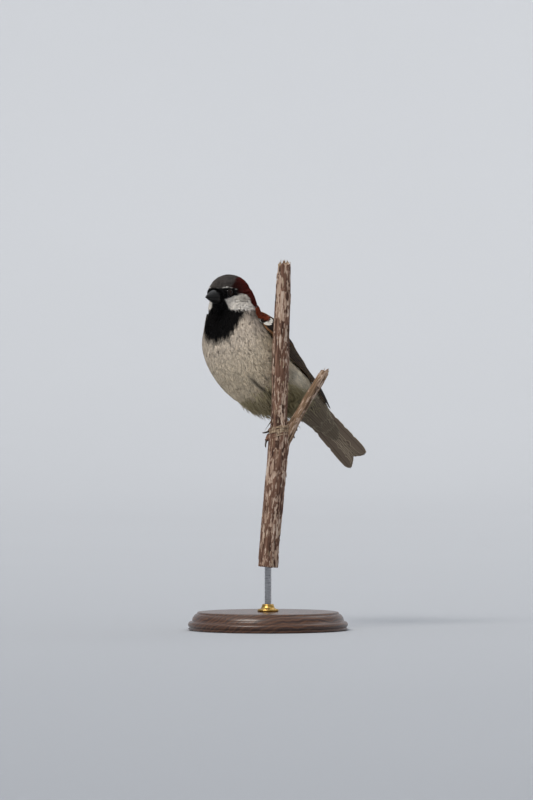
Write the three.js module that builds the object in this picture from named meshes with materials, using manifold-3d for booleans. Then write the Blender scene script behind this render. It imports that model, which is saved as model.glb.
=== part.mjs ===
// A male house sparrow (Passer domesticus) at life size, perched behind a broken, forked dry stem.
// The stem is cut short and held over a round wooden base by one steel rod.
// Units are millimetres. +X is the viewer's right, +Y points away from the viewer, +Z is up.
// The origin is the centre of the base's underside, straight below the rod.
import * as THREE from "three";
import Module from "manifold-3d";

// ---------------------------------------------------------------- driving dimensions
const GAP = 0.3; // clearance kept between neighbouring solids
const RING = 24; // points round a body section

// One row for each section of the trunk, from the tip of the tail coverts to the top of the neck:
// its centre, the bird's left-hand direction there, and the half-width, back and belly depths.
const SPINE = [
  { at: [36.6, 52.0, 121.8], left: [0.72, 0.0, 0.69], half: 5.2, back: 1.3, belly: 1.6 },
  { at: [30.2, 47.0, 129.3], left: [0.72, -0.04, 0.69], half: 8.0, back: 3.8, belly: 4.6 },
  { at: [20.8, 41.0, 138.2], left: [0.73, -0.14, 0.64], half: 12.2, back: 8.2, belly: 10.4 },
  { at: [9.4, 35.4, 145.8], left: [0.74, -0.3, 0.56], half: 17.6, back: 13.8, belly: 19.0 },
  { at: [-2.6, 29.6, 154.2], left: [0.74, -0.43, 0.5], half: 23.0, back: 17.9, belly: 24.8 },
  { at: [-12.2, 24.0, 164.8], left: [0.75, -0.47, 0.46], half: 24.2, back: 19.2, belly: 25.4 },
  { at: [-18.6, 19.8, 176.2], left: [0.8, -0.48, 0.36], half: 22.6, back: 18.0, belly: 22.8 },
  { at: [-21.4, 16.8, 186.6], left: [0.85, -0.47, 0.2], half: 18.0, back: 15.0, belly: 17.2 },
  { at: [-21.4, 14.8, 195.2], left: [0.87, -0.48, 0.06], half: 15.6, back: 13.0, belly: 12.4 },
  { at: [-22.6, 13.6, 203.0], left: [0.875, -0.485, 0.0], half: 13.0, back: 11.6, belly: 9.4 },
];

// The head looks level, turned this far from the viewer towards the viewer's left.
const HEAD_YAW = THREE.MathUtils.degToRad(29);
const BILL_TIP = [-37.6, -10.5, 199.5];
const BILL_TO_HEAD_CENTRE = 28; // from the bill tip back to the middle of the head
const HEAD_CENTRE_RISE = 3.5;
// Sections of the head along its own forward axis: distance ahead of the centre, half-width,
// height of the crown and depth of the throat.
const HEAD = [
  { ahead: -12.8, half: 6.2, crown: 3.8, throat: 6.5 },
  { ahead: -11.2, half: 8.9, crown: 7.0, throat: 8.4 },
  { ahead: -8.0, half: 10.9, crown: 9.5, throat: 9.8 },
  { ahead: -3.6, half: 11.8, crown: 10.7, throat: 10.8 },
  { ahead: 1.2, half: 11.6, crown: 10.6, throat: 10.8 },
  { ahead: 5.6, half: 10.2, crown: 9.3, throat: 10.2 },
  { ahead: 9.8, half: 8.3, crown: 7.5, throat: 9.0 },
  { ahead: 13.4, half: 6.1, crown: 5.4, throat: 7.6 },
  { ahead: 16.0, half: 4.2, crown: 2.5, throat: 6.3 },
];

const CULMEN = 12.0; // exposed length of the bill's ridge, beyond the feathers
const BILL_DEPTH = 8.2; // at the feathers
const BILL_WIDTH = 7.4;
const GAPE_DROP = 3.4; // the gape line lies this far below the head's centre
const BILL_ROOT = 3.0; // how far the horn runs back under the feathers
const UPPER_SHARE = 0.58; // of the bill's depth
const LOWER_SHORTER = 0.9; // the lower mandible ends this far behind the tip
const BILL_CLEARANCE = 0.35; // between the horn and the head round it
const BLUNT = 0.05; // share of the bill's size left at its very tip
const CULMEN_CURVE = 1.42; // 1 is a straight cone, and more makes its ridge bulge
const BILL_TAPER = 1.22; // the same for its sides

const EYE_RADIUS = 3.0;
const EYE_AHEAD = 9.6;
const EYE_RISE = -0.6;
const EYE_OUT = 8.5; // from the head's middle plane to the eyeball's outer side

// The folded wing from its tip to its bend: place along the trunk, the angles of its lower and
// upper edges round the trunk (0 is the side and 90 the back), and its thickness.
const WING = [
  { along: 0.075, low: 6, high: 36, thick: 0.8 },
  { along: 0.13, low: -2, high: 60, thick: 1.8 },
  { along: 0.22, low: -8, high: 76, thick: 3.0 },
  { along: 0.34, low: -12, high: 81, thick: 3.3 },
  { along: 0.5, low: -13, high: 82, thick: 2.8 },
  { along: 0.62, low: -12, high: 78, thick: 3.0 },
  { along: 0.71, low: -8, high: 66, thick: 2.8 },
  { along: 0.77, low: -2, high: 50, thick: 2.7 },
  { along: 0.8, low: 8, high: 30, thick: 1.6 },
];
const WING_CLEARANCE = 0.6; // between the wing and the plumage under it
const WING_EDGE = 0.28; // share of the thickness left at the wing's edges

const TAIL_ROOT = [20.4, 40.8, 139.4];
const TAIL_AXIS = [0.597, 0.45, -0.664];
const TAIL_LEFT = [0.72, 0.0, 0.69];
const TAIL_LENGTH = 57;
const TAIL_WIDTH_ROOT = 9.5;
const TAIL_WIDTH_TIP = 17.4;
const TAIL_THICKNESS = 1.5;
const TAIL_NOTCH = 1.6;

const NECK_FOOT = 0.8; // where the neck leaves the trunk, and where it meets the head,
const NECK_TOP = 0.88; // as places along the spine

const THIGH_RADII = [6.5, 4.6, 2.0]; // inside the belly, at its surface and at the bare shank
const TARSUS_RADIUS = 1.05;
const TOE_RADIUS = 0.9;
const CLAW_RADIUS = 0.5;
const CLAW_CURVE = 0.35; // how far the claw's middle bows out, as a share of its length

const STEM_CUT_Z = 37.8; // the stem's lower end
const ROD_RADIUS = 2.0;
const ROD_SEAT = 12; // how far the rod runs up inside the stem
const BASE_RADIUS = 48;
const BASE_HEIGHT = 11;
const ROD_FOOT_Z = 4; // where the rod stands inside the base

// The main stem's centre line with its radius, from the cut end to the broken top.
const STEM = [
  { at: [0.0, 0.0, STEM_CUT_Z], radius: 6.1 },
  { at: [2.2, 0.0, 66.0], radius: 6.1 },
  { at: [5.0, 0.0, 96.0], radius: 6.2 },
  { at: [6.4, 0.0, 110.0], radius: 6.2 },
  { at: [7.0, 0.0, 118.0], radius: 6.0 },
  { at: [6.7, 0.0, 126.0], radius: 4.7 },
  { at: [7.2, 0.0, 145.0], radius: 4.9 },
  { at: [7.7, 0.0, 168.0], radius: 5.0 },
  { at: [9.0, 0.0, 198.0], radius: 4.5 },
  { at: [9.8, 0.0, 220.0], radius: 4.1 },
];
// The side twig grows out of the swelling at the fork.
const TWIG = [
  { at: [9.6, 0.0, 112.0], radius: 3.4 },
  { at: [13.2, 0.3, 119.6], radius: 3.5 },
  { at: [17.6, 0.8, 127.5], radius: 2.9 },
  { at: [24.0, 1.6, 138.5], radius: 2.7 },
  { at: [30.6, 2.2, 149.0], radius: 2.9 },
  { at: [34.2, 2.5, 155.0], radius: 2.6 },
];

// ---------------------------------------------------------------- vectors and solids
const wasm = await Module();
wasm.setup();

const vec = (a) => new THREE.Vector3(...a);
const combine = (origin, ...terms) =>
  terms.reduce((sum, [direction, amount]) => sum.addScaledVector(direction, amount), origin.clone());

// A closed mesh with shared vertices as a manifold-3d solid, and back again.
function solid(positions, triangles) {
  return new wasm.Manifold(
    new wasm.Mesh({
      numProp: 3,
      vertProperties: new Float32Array(positions),
      triVerts: new Uint32Array(triangles),
    }),
  );
}

function geometryOf(manifold) {
  const mesh = manifold.getMesh();
  const geometry = new THREE.BufferGeometry();
  geometry.setAttribute("position", new THREE.BufferAttribute(mesh.vertProperties, 3));
  geometry.setIndex(new THREE.BufferAttribute(mesh.triVerts, 1));
  geometry.computeVertexNormals();
  return geometry;
}

// The solid skinned over a row of closed rings that all have the same number of points.
// Both ends are closed by a fan round the middle of the end ring.
function loft(rings) {
  const count = rings[0].length;
  const positions = rings.flat().flatMap((p) => [p.x, p.y, p.z]);
  const triangles = [];
  for (let r = 0; r + 1 < rings.length; r++) {
    for (let k = 0; k < count; k++) {
      const a = r * count + k;
      const b = r * count + ((k + 1) % count);
      triangles.push(a, b, a + count, b, b + count, a + count);
    }
  }
  for (const end of [0, rings.length - 1]) {
    const hub = positions.length / 3;
    const middle = rings[end].reduce((sum, p) => sum.add(p), new THREE.Vector3()).divideScalar(count);
    positions.push(middle.x, middle.y, middle.z);
    for (let k = 0; k < count; k++) {
      const a = end * count + k;
      const b = end * count + ((k + 1) % count);
      triangles.push(...(end === 0 ? [b, a, hub] : [a, b, hub]));
    }
  }
  const made = solid(positions, triangles);
  if (made.volume() > 0) return made;
  for (let t = 0; t < triangles.length; t += 3) {
    [triangles[t + 1], triangles[t + 2]] = [triangles[t + 2], triangles[t + 1]];
  }
  return solid(positions, triangles);
}

// Interpolates a row of numbers smoothly; t runs from 0 to 1 over the whole row.
function smooth(values, t) {
  const last = values.length - 1;
  const x = THREE.MathUtils.clamp(t, 0, 1) * last;
  const i = Math.min(Math.floor(x), last - 1);
  const [p0, p1, p2, p3] = [i - 1, i, i + 1, i + 2].map((k) => values[THREE.MathUtils.clamp(k, 0, last)]);
  const f = x - i;
  const slope1 = (p2 - p0) / 2;
  const slope2 = (p3 - p1) / 2;
  const cubic = 2 * p1 - 2 * p2 + slope1 + slope2;
  const square = -3 * p1 + 3 * p2 - 2 * slope1 - slope2;
  return ((cubic * f + square) * f + slope1) * f + p1;
}

const smoothVector = (rows, t) => vec([0, 1, 2].map((axis) => smooth(rows.map((r) => r[axis]), t)));

// The unit direction of the smooth line through the rows at t.
function heading(rows, t, step) {
  const ahead = smoothVector(rows, Math.min(t + step, 1));
  return ahead.sub(smoothVector(rows, Math.max(t - step, 0))).normalize();
}

// A round tube of changing radius along a smooth line through the given points.
function tube(points, sides = 10, steps = 6) {
  const rows = points.map((p) => p.at);
  const radii = points.map((p) => p.radius);
  const count = (points.length - 1) * steps;
  const rings = [];
  let across = null;
  for (let i = 0; i <= count; i++) {
    const t = i / count;
    const centre = smoothVector(rows, t);
    const along = heading(rows, t, 1e-3);
    if (!across) across = Math.abs(along.z) > 0.9 ? new THREE.Vector3(1, 0, 0) : new THREE.Vector3(0, 0, 1);
    across = across.clone().addScaledVector(along, -across.dot(along)).normalize();
    const up = along.clone().cross(across);
    const radius = smooth(radii, t);
    rings.push(
      Array.from({ length: sides }, (_, k) => {
        const angle = (k / sides) * 2 * Math.PI;
        return combine(centre, [across, radius * Math.cos(angle)], [up, radius * Math.sin(angle)]);
      }),
    );
  }
  return loft(rings);
}

// ---------------------------------------------------------------- trunk and neck
const spineAt = SPINE.map((s) => s.at);
const spineLeft = SPINE.map((s) => s.left);

// The frame of the body at t: 0 is the tip of the tail coverts and 1 the top of the neck.
function bodyFrame(t) {
  const centre = smoothVector(spineAt, t);
  const forward = heading(spineAt, t, 0.01);
  const left = smoothVector(spineLeft, t);
  left.addScaledVector(forward, -left.dot(forward)).normalize();
  const up = forward.clone().cross(left);
  return { centre, forward, left, up };
}

// A point of the plumage: angle 0 is the bird's left side, a quarter turn on is its back.
function bodyPoint(t, angle, offset = 0) {
  const { centre, left, up } = bodyFrame(t);
  const half = smooth(SPINE.map((s) => s.half), t) + offset;
  const back = smooth(SPINE.map((s) => s.back), t) + offset;
  const belly = smooth(SPINE.map((s) => s.belly), t) + offset;
  const rise = Math.sin(angle);
  return combine(centre, [left, half * Math.cos(angle)], [up, rise * (rise > 0 ? back : belly)]);
}

function bodyLoft(offset = 0, steps = 26) {
  const rings = [];
  for (let i = 0; i <= steps; i++) {
    const angles = Array.from({ length: RING }, (_, k) => (k / RING) * 2 * Math.PI);
    rings.push(angles.map((angle) => bodyPoint(i / steps, angle, offset)));
  }
  return loft(rings);
}

// ---------------------------------------------------------------- head, bill and eyes
const headForward = new THREE.Vector3(-Math.sin(HEAD_YAW), -Math.cos(HEAD_YAW), 0);
const headLeft = new THREE.Vector3(Math.cos(HEAD_YAW), -Math.sin(HEAD_YAW), 0);
const headUp = new THREE.Vector3(0, 0, 1);
const headCentre = combine(vec(BILL_TIP), [headForward, -BILL_TO_HEAD_CENTRE], [headUp, HEAD_CENTRE_RISE]);

// A point in the head's own frame.
const headPoint = (ahead, side, rise) =>
  combine(headCentre, [headForward, ahead], [headLeft, side], [headUp, rise]);

function headLoft(steps = 16) {
  const rings = [];
  for (let i = 0; i <= steps; i++) {
    const t = i / steps;
    const [ahead, half, crown, throat] = ["ahead", "half", "crown", "throat"].map((key) =>
      smooth(HEAD.map((s) => s[key]), t),
    );
    rings.push(
      Array.from({ length: RING }, (_, k) => {
        const angle = (k / RING) * 2 * Math.PI;
        const rise = Math.sin(angle);
        return headPoint(ahead, half * Math.cos(angle), rise * (rise > 0 ? crown : throat));
      }),
    );
  }
  return loft(rings);
}

// One half of the bill. Its sections are half-ellipses standing on the gape line, which shrink
// towards the tip along a curved ridge; side is 1 for the upper mandible and -1 for the lower.
function mandible(side, grow = 0) {
  const upper = side > 0;
  const length = upper ? CULMEN : CULMEN - LOWER_SHORTER;
  const depth = BILL_DEPTH * (upper ? UPPER_SHARE : 1 - UPPER_SHARE) - (upper ? 0 : GAP);
  const gape = -GAPE_DROP - (upper ? grow : GAP - grow);
  const tip = BILL_TO_HEAD_CENTRE - (upper ? 0 : LOWER_SHORTER);
  const root = tip - length;
  const steps = 12;
  const arc = 9;
  const rings = [];
  for (let i = 0; i <= steps; i++) {
    const ahead = THREE.MathUtils.lerp(root - BILL_ROOT - grow, tip, i / steps);
    // 0 at the feathers and 1 at the tip
    const past = THREE.MathUtils.clamp((ahead - root) / length, 0, 1);
    const height = depth * Math.max(BLUNT, (1 - past ** CULMEN_CURVE) ** 0.95) + 2 * grow;
    const taper = Math.max(BLUNT, (1 - past ** BILL_TAPER) ** 0.92);
    const width = (BILL_WIDTH / 2) * taper * (upper ? 1 : 0.94) + grow;
    rings.push(
      Array.from({ length: arc + 1 }, (_, k) => {
        const angle = (k / arc) * Math.PI;
        return headPoint(ahead, width * Math.cos(angle), gape + side * Math.sin(angle) ** 0.9 * height);
      }),
    );
  }
  return loft(rings);
}

function sphere(centre, radius, widthSegments = 16, heightSegments = 9) {
  const ball = new THREE.SphereGeometry(radius, widthSegments, heightSegments);
  return welded(ball.translate(centre.x, centre.y, centre.z));
}

// A solid from one of the library's closed geometries, whose seams are welded by position first.
function welded(geometry) {
  const position = geometry.getAttribute("position");
  const places = new Map();
  const positions = [];
  const number = Array.from({ length: position.count }, (_, i) => {
    const point = [position.getX(i), position.getY(i), position.getZ(i)];
    const key = point.map((c) => Math.round(c * 1e4)).join();
    if (!places.has(key)) {
      places.set(key, positions.length / 3);
      positions.push(...point);
    }
    return places.get(key);
  });
  const corners = geometry.index ? Array.from(geometry.index.array, (i) => number[i]) : number;
  const triangles = [];
  for (let t = 0; t < corners.length; t += 3) {
    const [a, b, c] = corners.slice(t, t + 3);
    if (a !== b && b !== c && c !== a) triangles.push(a, b, c);
  }
  return solid(positions, triangles);
}

const eyeCentre = (side) => headPoint(EYE_AHEAD, side * (EYE_OUT - EYE_RADIUS), EYE_RISE);

// ---------------------------------------------------------------- wings and tail
// A folded wing is a curved shell that lies along the side of the trunk; side is 1 for the left.
function wing(side) {
  const steps = 20;
  const arc = 9;
  const value = (key, t) => smooth(WING.map((row) => row[key]), t);
  const rings = [];
  for (let i = 0; i <= steps; i++) {
    const t = i / steps;
    const along = value("along", t);
    const shell = (share, lift) => {
      const angle = THREE.MathUtils.degToRad(THREE.MathUtils.lerp(value("low", t), value("high", t), share));
      return bodyPoint(along, side > 0 ? angle : Math.PI - angle, WING_CLEARANCE + lift);
    };
    const inner = [];
    const outer = [];
    for (let k = 0; k <= arc; k++) {
      const share = k / arc;
      const swell = WING_EDGE + (1 - WING_EDGE) * Math.sin(Math.PI * share) ** 0.6;
      inner.push(shell(share, 0));
      outer.unshift(shell(share, value("thick", t) * swell));
    }
    rings.push([...inner, ...outer]);
  }
  return loft(rings);
}

// The closed, lightly notched tail as one thin fan, grown by a clearance where it cuts a slot.
function tail(grow = 0) {
  const root = TAIL_WIDTH_ROOT / 2 + grow;
  const tip = TAIL_WIDTH_TIP / 2 + grow;
  const length = TAIL_LENGTH + grow;
  const corner = 2.2;
  const outline = new THREE.Shape();
  outline.moveTo(-root, -grow);
  outline.lineTo(-tip, length - corner);
  outline.quadraticCurveTo(-tip, length, -tip + corner, length);
  outline.lineTo(0, length - TAIL_NOTCH);
  outline.lineTo(tip - corner, length);
  outline.quadraticCurveTo(tip, length, tip, length - corner);
  outline.lineTo(root, -grow);
  outline.closePath();
  const depth = TAIL_THICKNESS + 2 * grow;
  const fan = new THREE.ExtrudeGeometry(outline, { depth, bevelEnabled: false, curveSegments: 5 });
  fan.translate(0, 0, -depth / 2);
  const along = vec(TAIL_AXIS).normalize();
  const left = vec(TAIL_LEFT);
  left.addScaledVector(along, -left.dot(along)).normalize();
  const frame = new THREE.Matrix4().makeBasis(left, along, left.clone().cross(along));
  return welded(fan.applyMatrix4(frame.setPosition(vec(TAIL_ROOT))));
}

// ---------------------------------------------------------------- legs and feet
// Each leg: where the feathered thigh starts inside the trunk, the line of the shank from the
// thigh to the foot, then the toes. A toe starts at the foot and bends round the stem, and its
// claw ends at the given point.
const LEGS = {
  right: {
    thigh: [8.4, 36.0, 149.0],
    tarsus: [[6.4, 27.0, 139.0], [5.4, 19.6, 130.8], [4.6, 8.6, 119.4]],
    toes: {
      inner: { line: [[4.6, 8.6, 119.6], [2.2, 7.0, 120.4], [0.6, 4.6, 119.2]], claw: [-3.6, 3.2, 118.4] },
      middle: { line: [[4.6, 8.6, 119.2], [0.8, 5.6, 116.6], [-0.9, 1.8, 113.8]], claw: [-1.2, -0.6, 109.4] },
      outer: { line: [[4.8, 8.6, 118.8], [2.6, 7.2, 113.6], [1.2, 5.4, 110.2]], claw: [1.0, 3.4, 106.6] },
      hind: { line: [[4.8, 8.6, 119.2], [8.2, 7.8, 116.0], [10.6, 6.6, 113.4]], claw: [12.4, 4.6, 110.8] },
    },
  },
  left: {
    thigh: [12.4, 33.0, 151.0],
    tarsus: [[10.0, 25.0, 141.4], [9.4, 18.0, 133.8], [9.0, 8.6, 124.0]],
    toes: {
      inner: { line: [[9.0, 8.6, 124.2], [7.4, 6.6, 127.4], [8.6, 5.6, 130.4]], claw: [9.4, 4.6, 134.0] },
      middle: { line: [[9.2, 8.4, 124.0], [12.6, 6.0, 123.4], [15.2, 5.2, 122.4]], claw: [17.3, 3.6, 119.4] },
      outer: { line: [[9.2, 8.4, 123.4], [12.4, 6.2, 119.8], [14.4, 4.8, 117.8]], claw: [15.6, 2.4, 115.0] },
      hind: { line: [[8.8, 8.6, 123.6], [5.6, 7.6, 124.6], [3.4, 5.8, 125.6]], claw: [2.6, 3.4, 127.6] },
    },
  },
};

// The feathered thighs bulge out of the belly and end where the bare shanks begin.
function thighs(offset = 0) {
  const [right, left] = Object.values(LEGS).map(({ thigh, tarsus }) => {
    const line = [thigh, tarsus[0], tarsus[1]];
    return tube(line.map((at, i) => ({ at, radius: THIGH_RADII[i] + offset })), 12, 3);
  });
  return right.add(left);
}

const plumage = (offset = 0) => bodyLoft(offset).add(thighs(offset));

function foot({ tarsus, toes }) {
  const shank = tube(tarsus.map((at) => ({ at, radius: TARSUS_RADIUS })), 7, 3);
  return Object.values(toes).reduce((sum, toe) => {
    const thickness = [1.05, 1, 0.8];
    return sum.add(tube(toe.line.map((at, i) => ({ at, radius: TOE_RADIUS * thickness[i] })), 7, 3));
  }, shank);
}

// A claw starts just beyond the toe's end and hooks towards its point.
function claw({ line, claw: point }) {
  const end = vec(line[2]);
  const toward = end.clone().sub(vec(line[1])).normalize();
  const start = combine(end, [toward, GAP]);
  const tip = vec(point);
  const length = tip.distanceTo(start);
  const bow = combine(start.clone().lerp(tip, 0.5), [toward, length * CLAW_CURVE]);
  const rows = [[start, CLAW_RADIUS], [bow, CLAW_RADIUS * 0.75], [tip, CLAW_RADIUS * 0.2]];
  return tube(rows.map(([p, radius]) => ({ at: p.toArray(), radius })), 6, 3);
}

// ---------------------------------------------------------------- perch and stand
// Splinters stand up from the stem's and the twig's broken ends.
const SPLINTERS = [
  { foot: [9.4, 0.0, 216.0], point: [9.9, -0.4, 222.6], radius: 2.6 },
  { foot: [12.2, -0.6, 214.0], point: [13.7, -0.8, 222.0], radius: 1.5 },
  { foot: [7.6, 1.4, 215.0], point: [7.2, 1.8, 220.6], radius: 1.9 },
  { foot: [10.4, 2.2, 215.0], point: [11.2, 2.6, 221.2], radius: 1.8 },
  { foot: [7.6, 0.0, 213.4], point: [4.9, -0.4, 215.6], radius: 1.1 },
  { foot: [32.6, 2.3, 152.6], point: [36.6, 2.6, 157.0], radius: 1.7 },
];

const splinter = ({ foot: from, point, radius }) =>
  tube([{ at: from, radius }, { at: point, radius: radius * 0.12 }], 6, 2);

function post(radius, low, high, sides = 24) {
  const shaft = new THREE.CylinderGeometry(radius, radius, high - low, sides);
  return welded(shaft.rotateX(Math.PI / 2).translate(0, 0, (low + high) / 2));
}

function perch() {
  const growths = [tube(TWIG, 10, 3), ...SPLINTERS.map(splinter)];
  const wood = growths.reduce((sum, piece) => sum.add(piece), tube(STEM, 16, 2));
  return wood.subtract(post(ROD_RADIUS + GAP, STEM_CUT_Z - 10, STEM_CUT_Z + ROD_SEAT + GAP));
}

// A turned disc: flat underside, a bead, a cove and a flat top.
function standBase() {
  const profile = new THREE.Path();
  profile.moveTo(0, 0);
  profile.lineTo(BASE_RADIUS - 0.8, 0);
  profile.lineTo(BASE_RADIUS, 0.8);
  profile.lineTo(BASE_RADIUS, BASE_HEIGHT * 0.42);
  profile.quadraticCurveTo(BASE_RADIUS, BASE_HEIGHT * 0.6, BASE_RADIUS - 2, BASE_HEIGHT * 0.62);
  profile.quadraticCurveTo(BASE_RADIUS - 4.4, BASE_HEIGHT * 0.68, BASE_RADIUS - 5, BASE_HEIGHT);
  profile.lineTo(0, BASE_HEIGHT);
  const disc = new THREE.LatheGeometry(profile.getPoints(3), 44).rotateX(Math.PI / 2);
  return welded(disc).subtract(post(ROD_RADIUS + GAP, ROD_FOOT_Z - GAP, BASE_HEIGHT + 5));
}

// The washer round the rod on top of the base.
function standCollar() {
  const bore = ROD_RADIUS + GAP;
  const low = BASE_HEIGHT + GAP;
  const profile = [
    [bore, low],
    [6.2, low],
    [6.2, low + 1],
    [4.2, low + 1.8],
    [3.4, low + 3.6],
    [bore, low + 3.6],
    [bore, low],
  ];
  const points = profile.map(([radius, z]) => new THREE.Vector2(radius, z));
  return welded(new THREE.LatheGeometry(points, 20).rotateX(Math.PI / 2));
}

// ---------------------------------------------------------------- the parted body
// A thin wall square to the spine that parts two neighbours.
function wall({ centre, forward }) {
  const sheet = new THREE.BoxGeometry(90, 90, GAP);
  const turn = new THREE.Quaternion().setFromUnitVectors(new THREE.Vector3(0, 0, 1), forward);
  return welded(sheet.applyQuaternion(turn).translate(centre.x, centre.y, centre.z));
}

// The plumage as one solid with its sockets, cut into trunk, neck and head from below upwards.
function partBody() {
  const sockets = [1, -1].map((side) => sphere(eyeCentre(side), EYE_RADIUS + GAP));
  const cuts = [tail(GAP), mandible(1, BILL_CLEARANCE), mandible(-1, BILL_CLEARANCE), ...sockets];
  cuts.push(wall(bodyFrame(NECK_FOOT)), wall(bodyFrame(NECK_TOP)));
  const whole = plumage().add(headLoft());
  const pieces = cuts.reduce((left, cut) => left.subtract(cut), whole).decompose();
  const height = (piece) => (piece.boundingBox().min[2] + piece.boundingBox().max[2]) / 2;
  return pieces.filter((piece) => piece.volume() > 5).sort((a, b) => height(a) - height(b));
}

// ---------------------------------------------------------------- the model
const MATERIALS = {
  plumage: { color: 0x8f8778, roughness: 0.9, metalness: 0 },
  mask: { color: 0x3a2c26, roughness: 0.9, metalness: 0 },
  flight_feather: { color: 0x4a3a30, roughness: 0.8, metalness: 0 },
  horn: { color: 0x1f1f20, roughness: 0.35, metalness: 0 },
  eye: { color: 0x120b08, roughness: 0.05, metalness: 0 },
  scale: { color: 0x6b4a3c, roughness: 0.6, metalness: 0 },
  bark: { color: 0x7a5c48, roughness: 0.95, metalness: 0 },
  turned_wood: { color: 0x5a3d28, roughness: 0.45, metalness: 0 },
  rod_steel: { color: 0x8d8d8d, roughness: 0.3, metalness: 1 },
};

const sparrow = new THREE.Group();

function place(name, manifold, material) {
  const mesh = new THREE.Mesh(geometryOf(manifold), new THREE.MeshStandardMaterial(MATERIALS[material]));
  mesh.name = name;
  sparrow.add(mesh);
}

const [trunk, neck, head] = partBody();
place("trunk", trunk, "plumage");
place("neck", neck, "plumage");
place("head", head, "mask");
place("bill_upper", mandible(1), "horn");
place("bill_lower", mandible(-1), "horn");
place("tail", tail(), "flight_feather");

const plumageWithGap = plumage(GAP);
const tailWithGap = tail(GAP);
for (const [name, side] of [["left", 1], ["right", -1]]) {
  place(`eye_${name}`, sphere(eyeCentre(side), EYE_RADIUS), "eye");
  place(`wing_${name}`, wing(side).subtract(tailWithGap), "flight_feather");
  place(`foot_${name}`, foot(LEGS[name]).subtract(plumageWithGap), "scale");
  for (const [toeName, toe] of Object.entries(LEGS[name].toes)) {
    place(`claw_${name}_${toeName}`, claw(toe), "horn");
  }
}

place("perch_stem", perch(), "bark");
place("stand_rod", post(ROD_RADIUS, ROD_FOOT_Z, STEM_CUT_Z + ROD_SEAT), "rod_steel");
place("stand_collar", standCollar(), "rod_steel");
place("stand_base", standBase(), "turned_wood");

export default sparrow;
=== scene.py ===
"""A male house sparrow on a broken stem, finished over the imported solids.

Sizes are millimetres and are turned into metres as each mesh is made. +X is the viewer's right,
+Y points away from the viewer and +Z is up.
"""
import itertools
import math

import bpy
import bmesh
import numpy as np
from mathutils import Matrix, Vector
from mathutils.bvhtree import BVHTree
from mathutils.kdtree import KDTree


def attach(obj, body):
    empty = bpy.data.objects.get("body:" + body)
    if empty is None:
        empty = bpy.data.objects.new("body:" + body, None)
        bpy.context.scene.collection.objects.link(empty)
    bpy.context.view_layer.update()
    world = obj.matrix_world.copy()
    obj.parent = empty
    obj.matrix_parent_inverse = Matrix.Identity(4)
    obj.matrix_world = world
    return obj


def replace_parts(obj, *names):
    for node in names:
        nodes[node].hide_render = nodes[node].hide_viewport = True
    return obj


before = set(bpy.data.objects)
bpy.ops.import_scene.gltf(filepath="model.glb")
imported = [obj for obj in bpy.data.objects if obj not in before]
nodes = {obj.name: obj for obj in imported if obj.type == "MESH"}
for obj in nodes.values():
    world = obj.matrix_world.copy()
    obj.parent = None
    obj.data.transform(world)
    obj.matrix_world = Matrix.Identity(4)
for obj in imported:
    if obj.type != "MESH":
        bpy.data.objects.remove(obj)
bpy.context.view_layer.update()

MM = 0.001
BODY = "root"

# ---- the bird's own frames
# One row for each section of the trunk, from the tip of the tail coverts to the top of the neck:
# centre, left-hand direction, half-width, depth of the back and depth of the belly.
SPINE = np.array([
    [36.6, 52.0, 121.8, 0.72, 0.00, 0.69, 5.2, 1.3, 1.6],
    [30.2, 47.0, 129.3, 0.72, -0.04, 0.69, 8.0, 3.8, 4.6],
    [20.8, 41.0, 138.2, 0.73, -0.14, 0.64, 12.2, 8.2, 10.4],
    [9.4, 35.4, 145.8, 0.74, -0.30, 0.56, 17.6, 13.8, 19.0],
    [-2.6, 29.6, 154.2, 0.74, -0.43, 0.50, 23.0, 17.9, 24.8],
    [-12.2, 24.0, 164.8, 0.75, -0.47, 0.46, 24.2, 19.2, 25.4],
    [-18.6, 19.8, 176.2, 0.80, -0.48, 0.36, 22.6, 18.0, 22.8],
    [-21.4, 16.8, 186.6, 0.85, -0.47, 0.20, 18.0, 15.0, 17.2],
    [-21.4, 14.8, 195.2, 0.87, -0.48, 0.06, 15.6, 13.0, 12.4],
    [-22.6, 13.6, 203.0, 0.875, -0.485, 0.0, 13.0, 11.6, 9.4],
])
HEAD_YAW = math.radians(29)
HEAD_FORWARD = np.array([-math.sin(HEAD_YAW), -math.cos(HEAD_YAW), 0.0])
HEAD_LEFT = np.array([math.cos(HEAD_YAW), -math.sin(HEAD_YAW), 0.0])
UP = np.array([0.0, 0.0, 1.0])
BILL_TIP = np.array([-37.6, -10.5, 199.5])
BILL_TO_HEAD_CENTRE = 28.0
HEAD_OVER_BILL_TIP = 3.5
HEAD_CENTRE = BILL_TIP - BILL_TO_HEAD_CENTRE * HEAD_FORWARD + HEAD_OVER_BILL_TIP * UP

EYE_RADIUS = 3.0
EYE_AHEAD = 9.6
EYE_RISE = -0.6
EYE_OUT = 8.5

# The folded wing: place along the trunk, and the angles of its lower and upper edges in degrees.
WING_CLEARANCE = 0.6
WING_PLACES = [0.075, 0.13, 0.22, 0.34, 0.5, 0.62, 0.71, 0.77, 0.87]
WING_LOW = [6, -2, -8, -12, -13, -12, -8, -3, -4]
WING_HIGH = [38, 60, 76, 81, 82, 78, 70, 64, 60]

TAIL_ROOT = np.array([20.4, 40.8, 139.4])
TAIL_AXIS = np.array([0.597, 0.45, -0.664])
TAIL_LEFT = np.array([0.72, 0.0, 0.69])
TAIL_LENGTH = 57.0


def unit(v):
    """Vectors scaled to length one."""
    v = np.asarray(v, float)
    return v / np.maximum(np.linalg.norm(v, axis=-1, keepdims=True), 1e-9)


def dots(a, b):
    return (a * b).sum(-1)


def across(v, normal):
    """The part of v that lies square to the unit vector normal, as a unit vector."""
    return unit(v - dots(v, normal)[..., None] * normal)


def ramp(value, low, high):
    """0 below low and 1 above high, with a soft step between them."""
    x = np.clip((value - low) / (high - low), 0, 1)
    return x * x * (3 - 2 * x)


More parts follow.
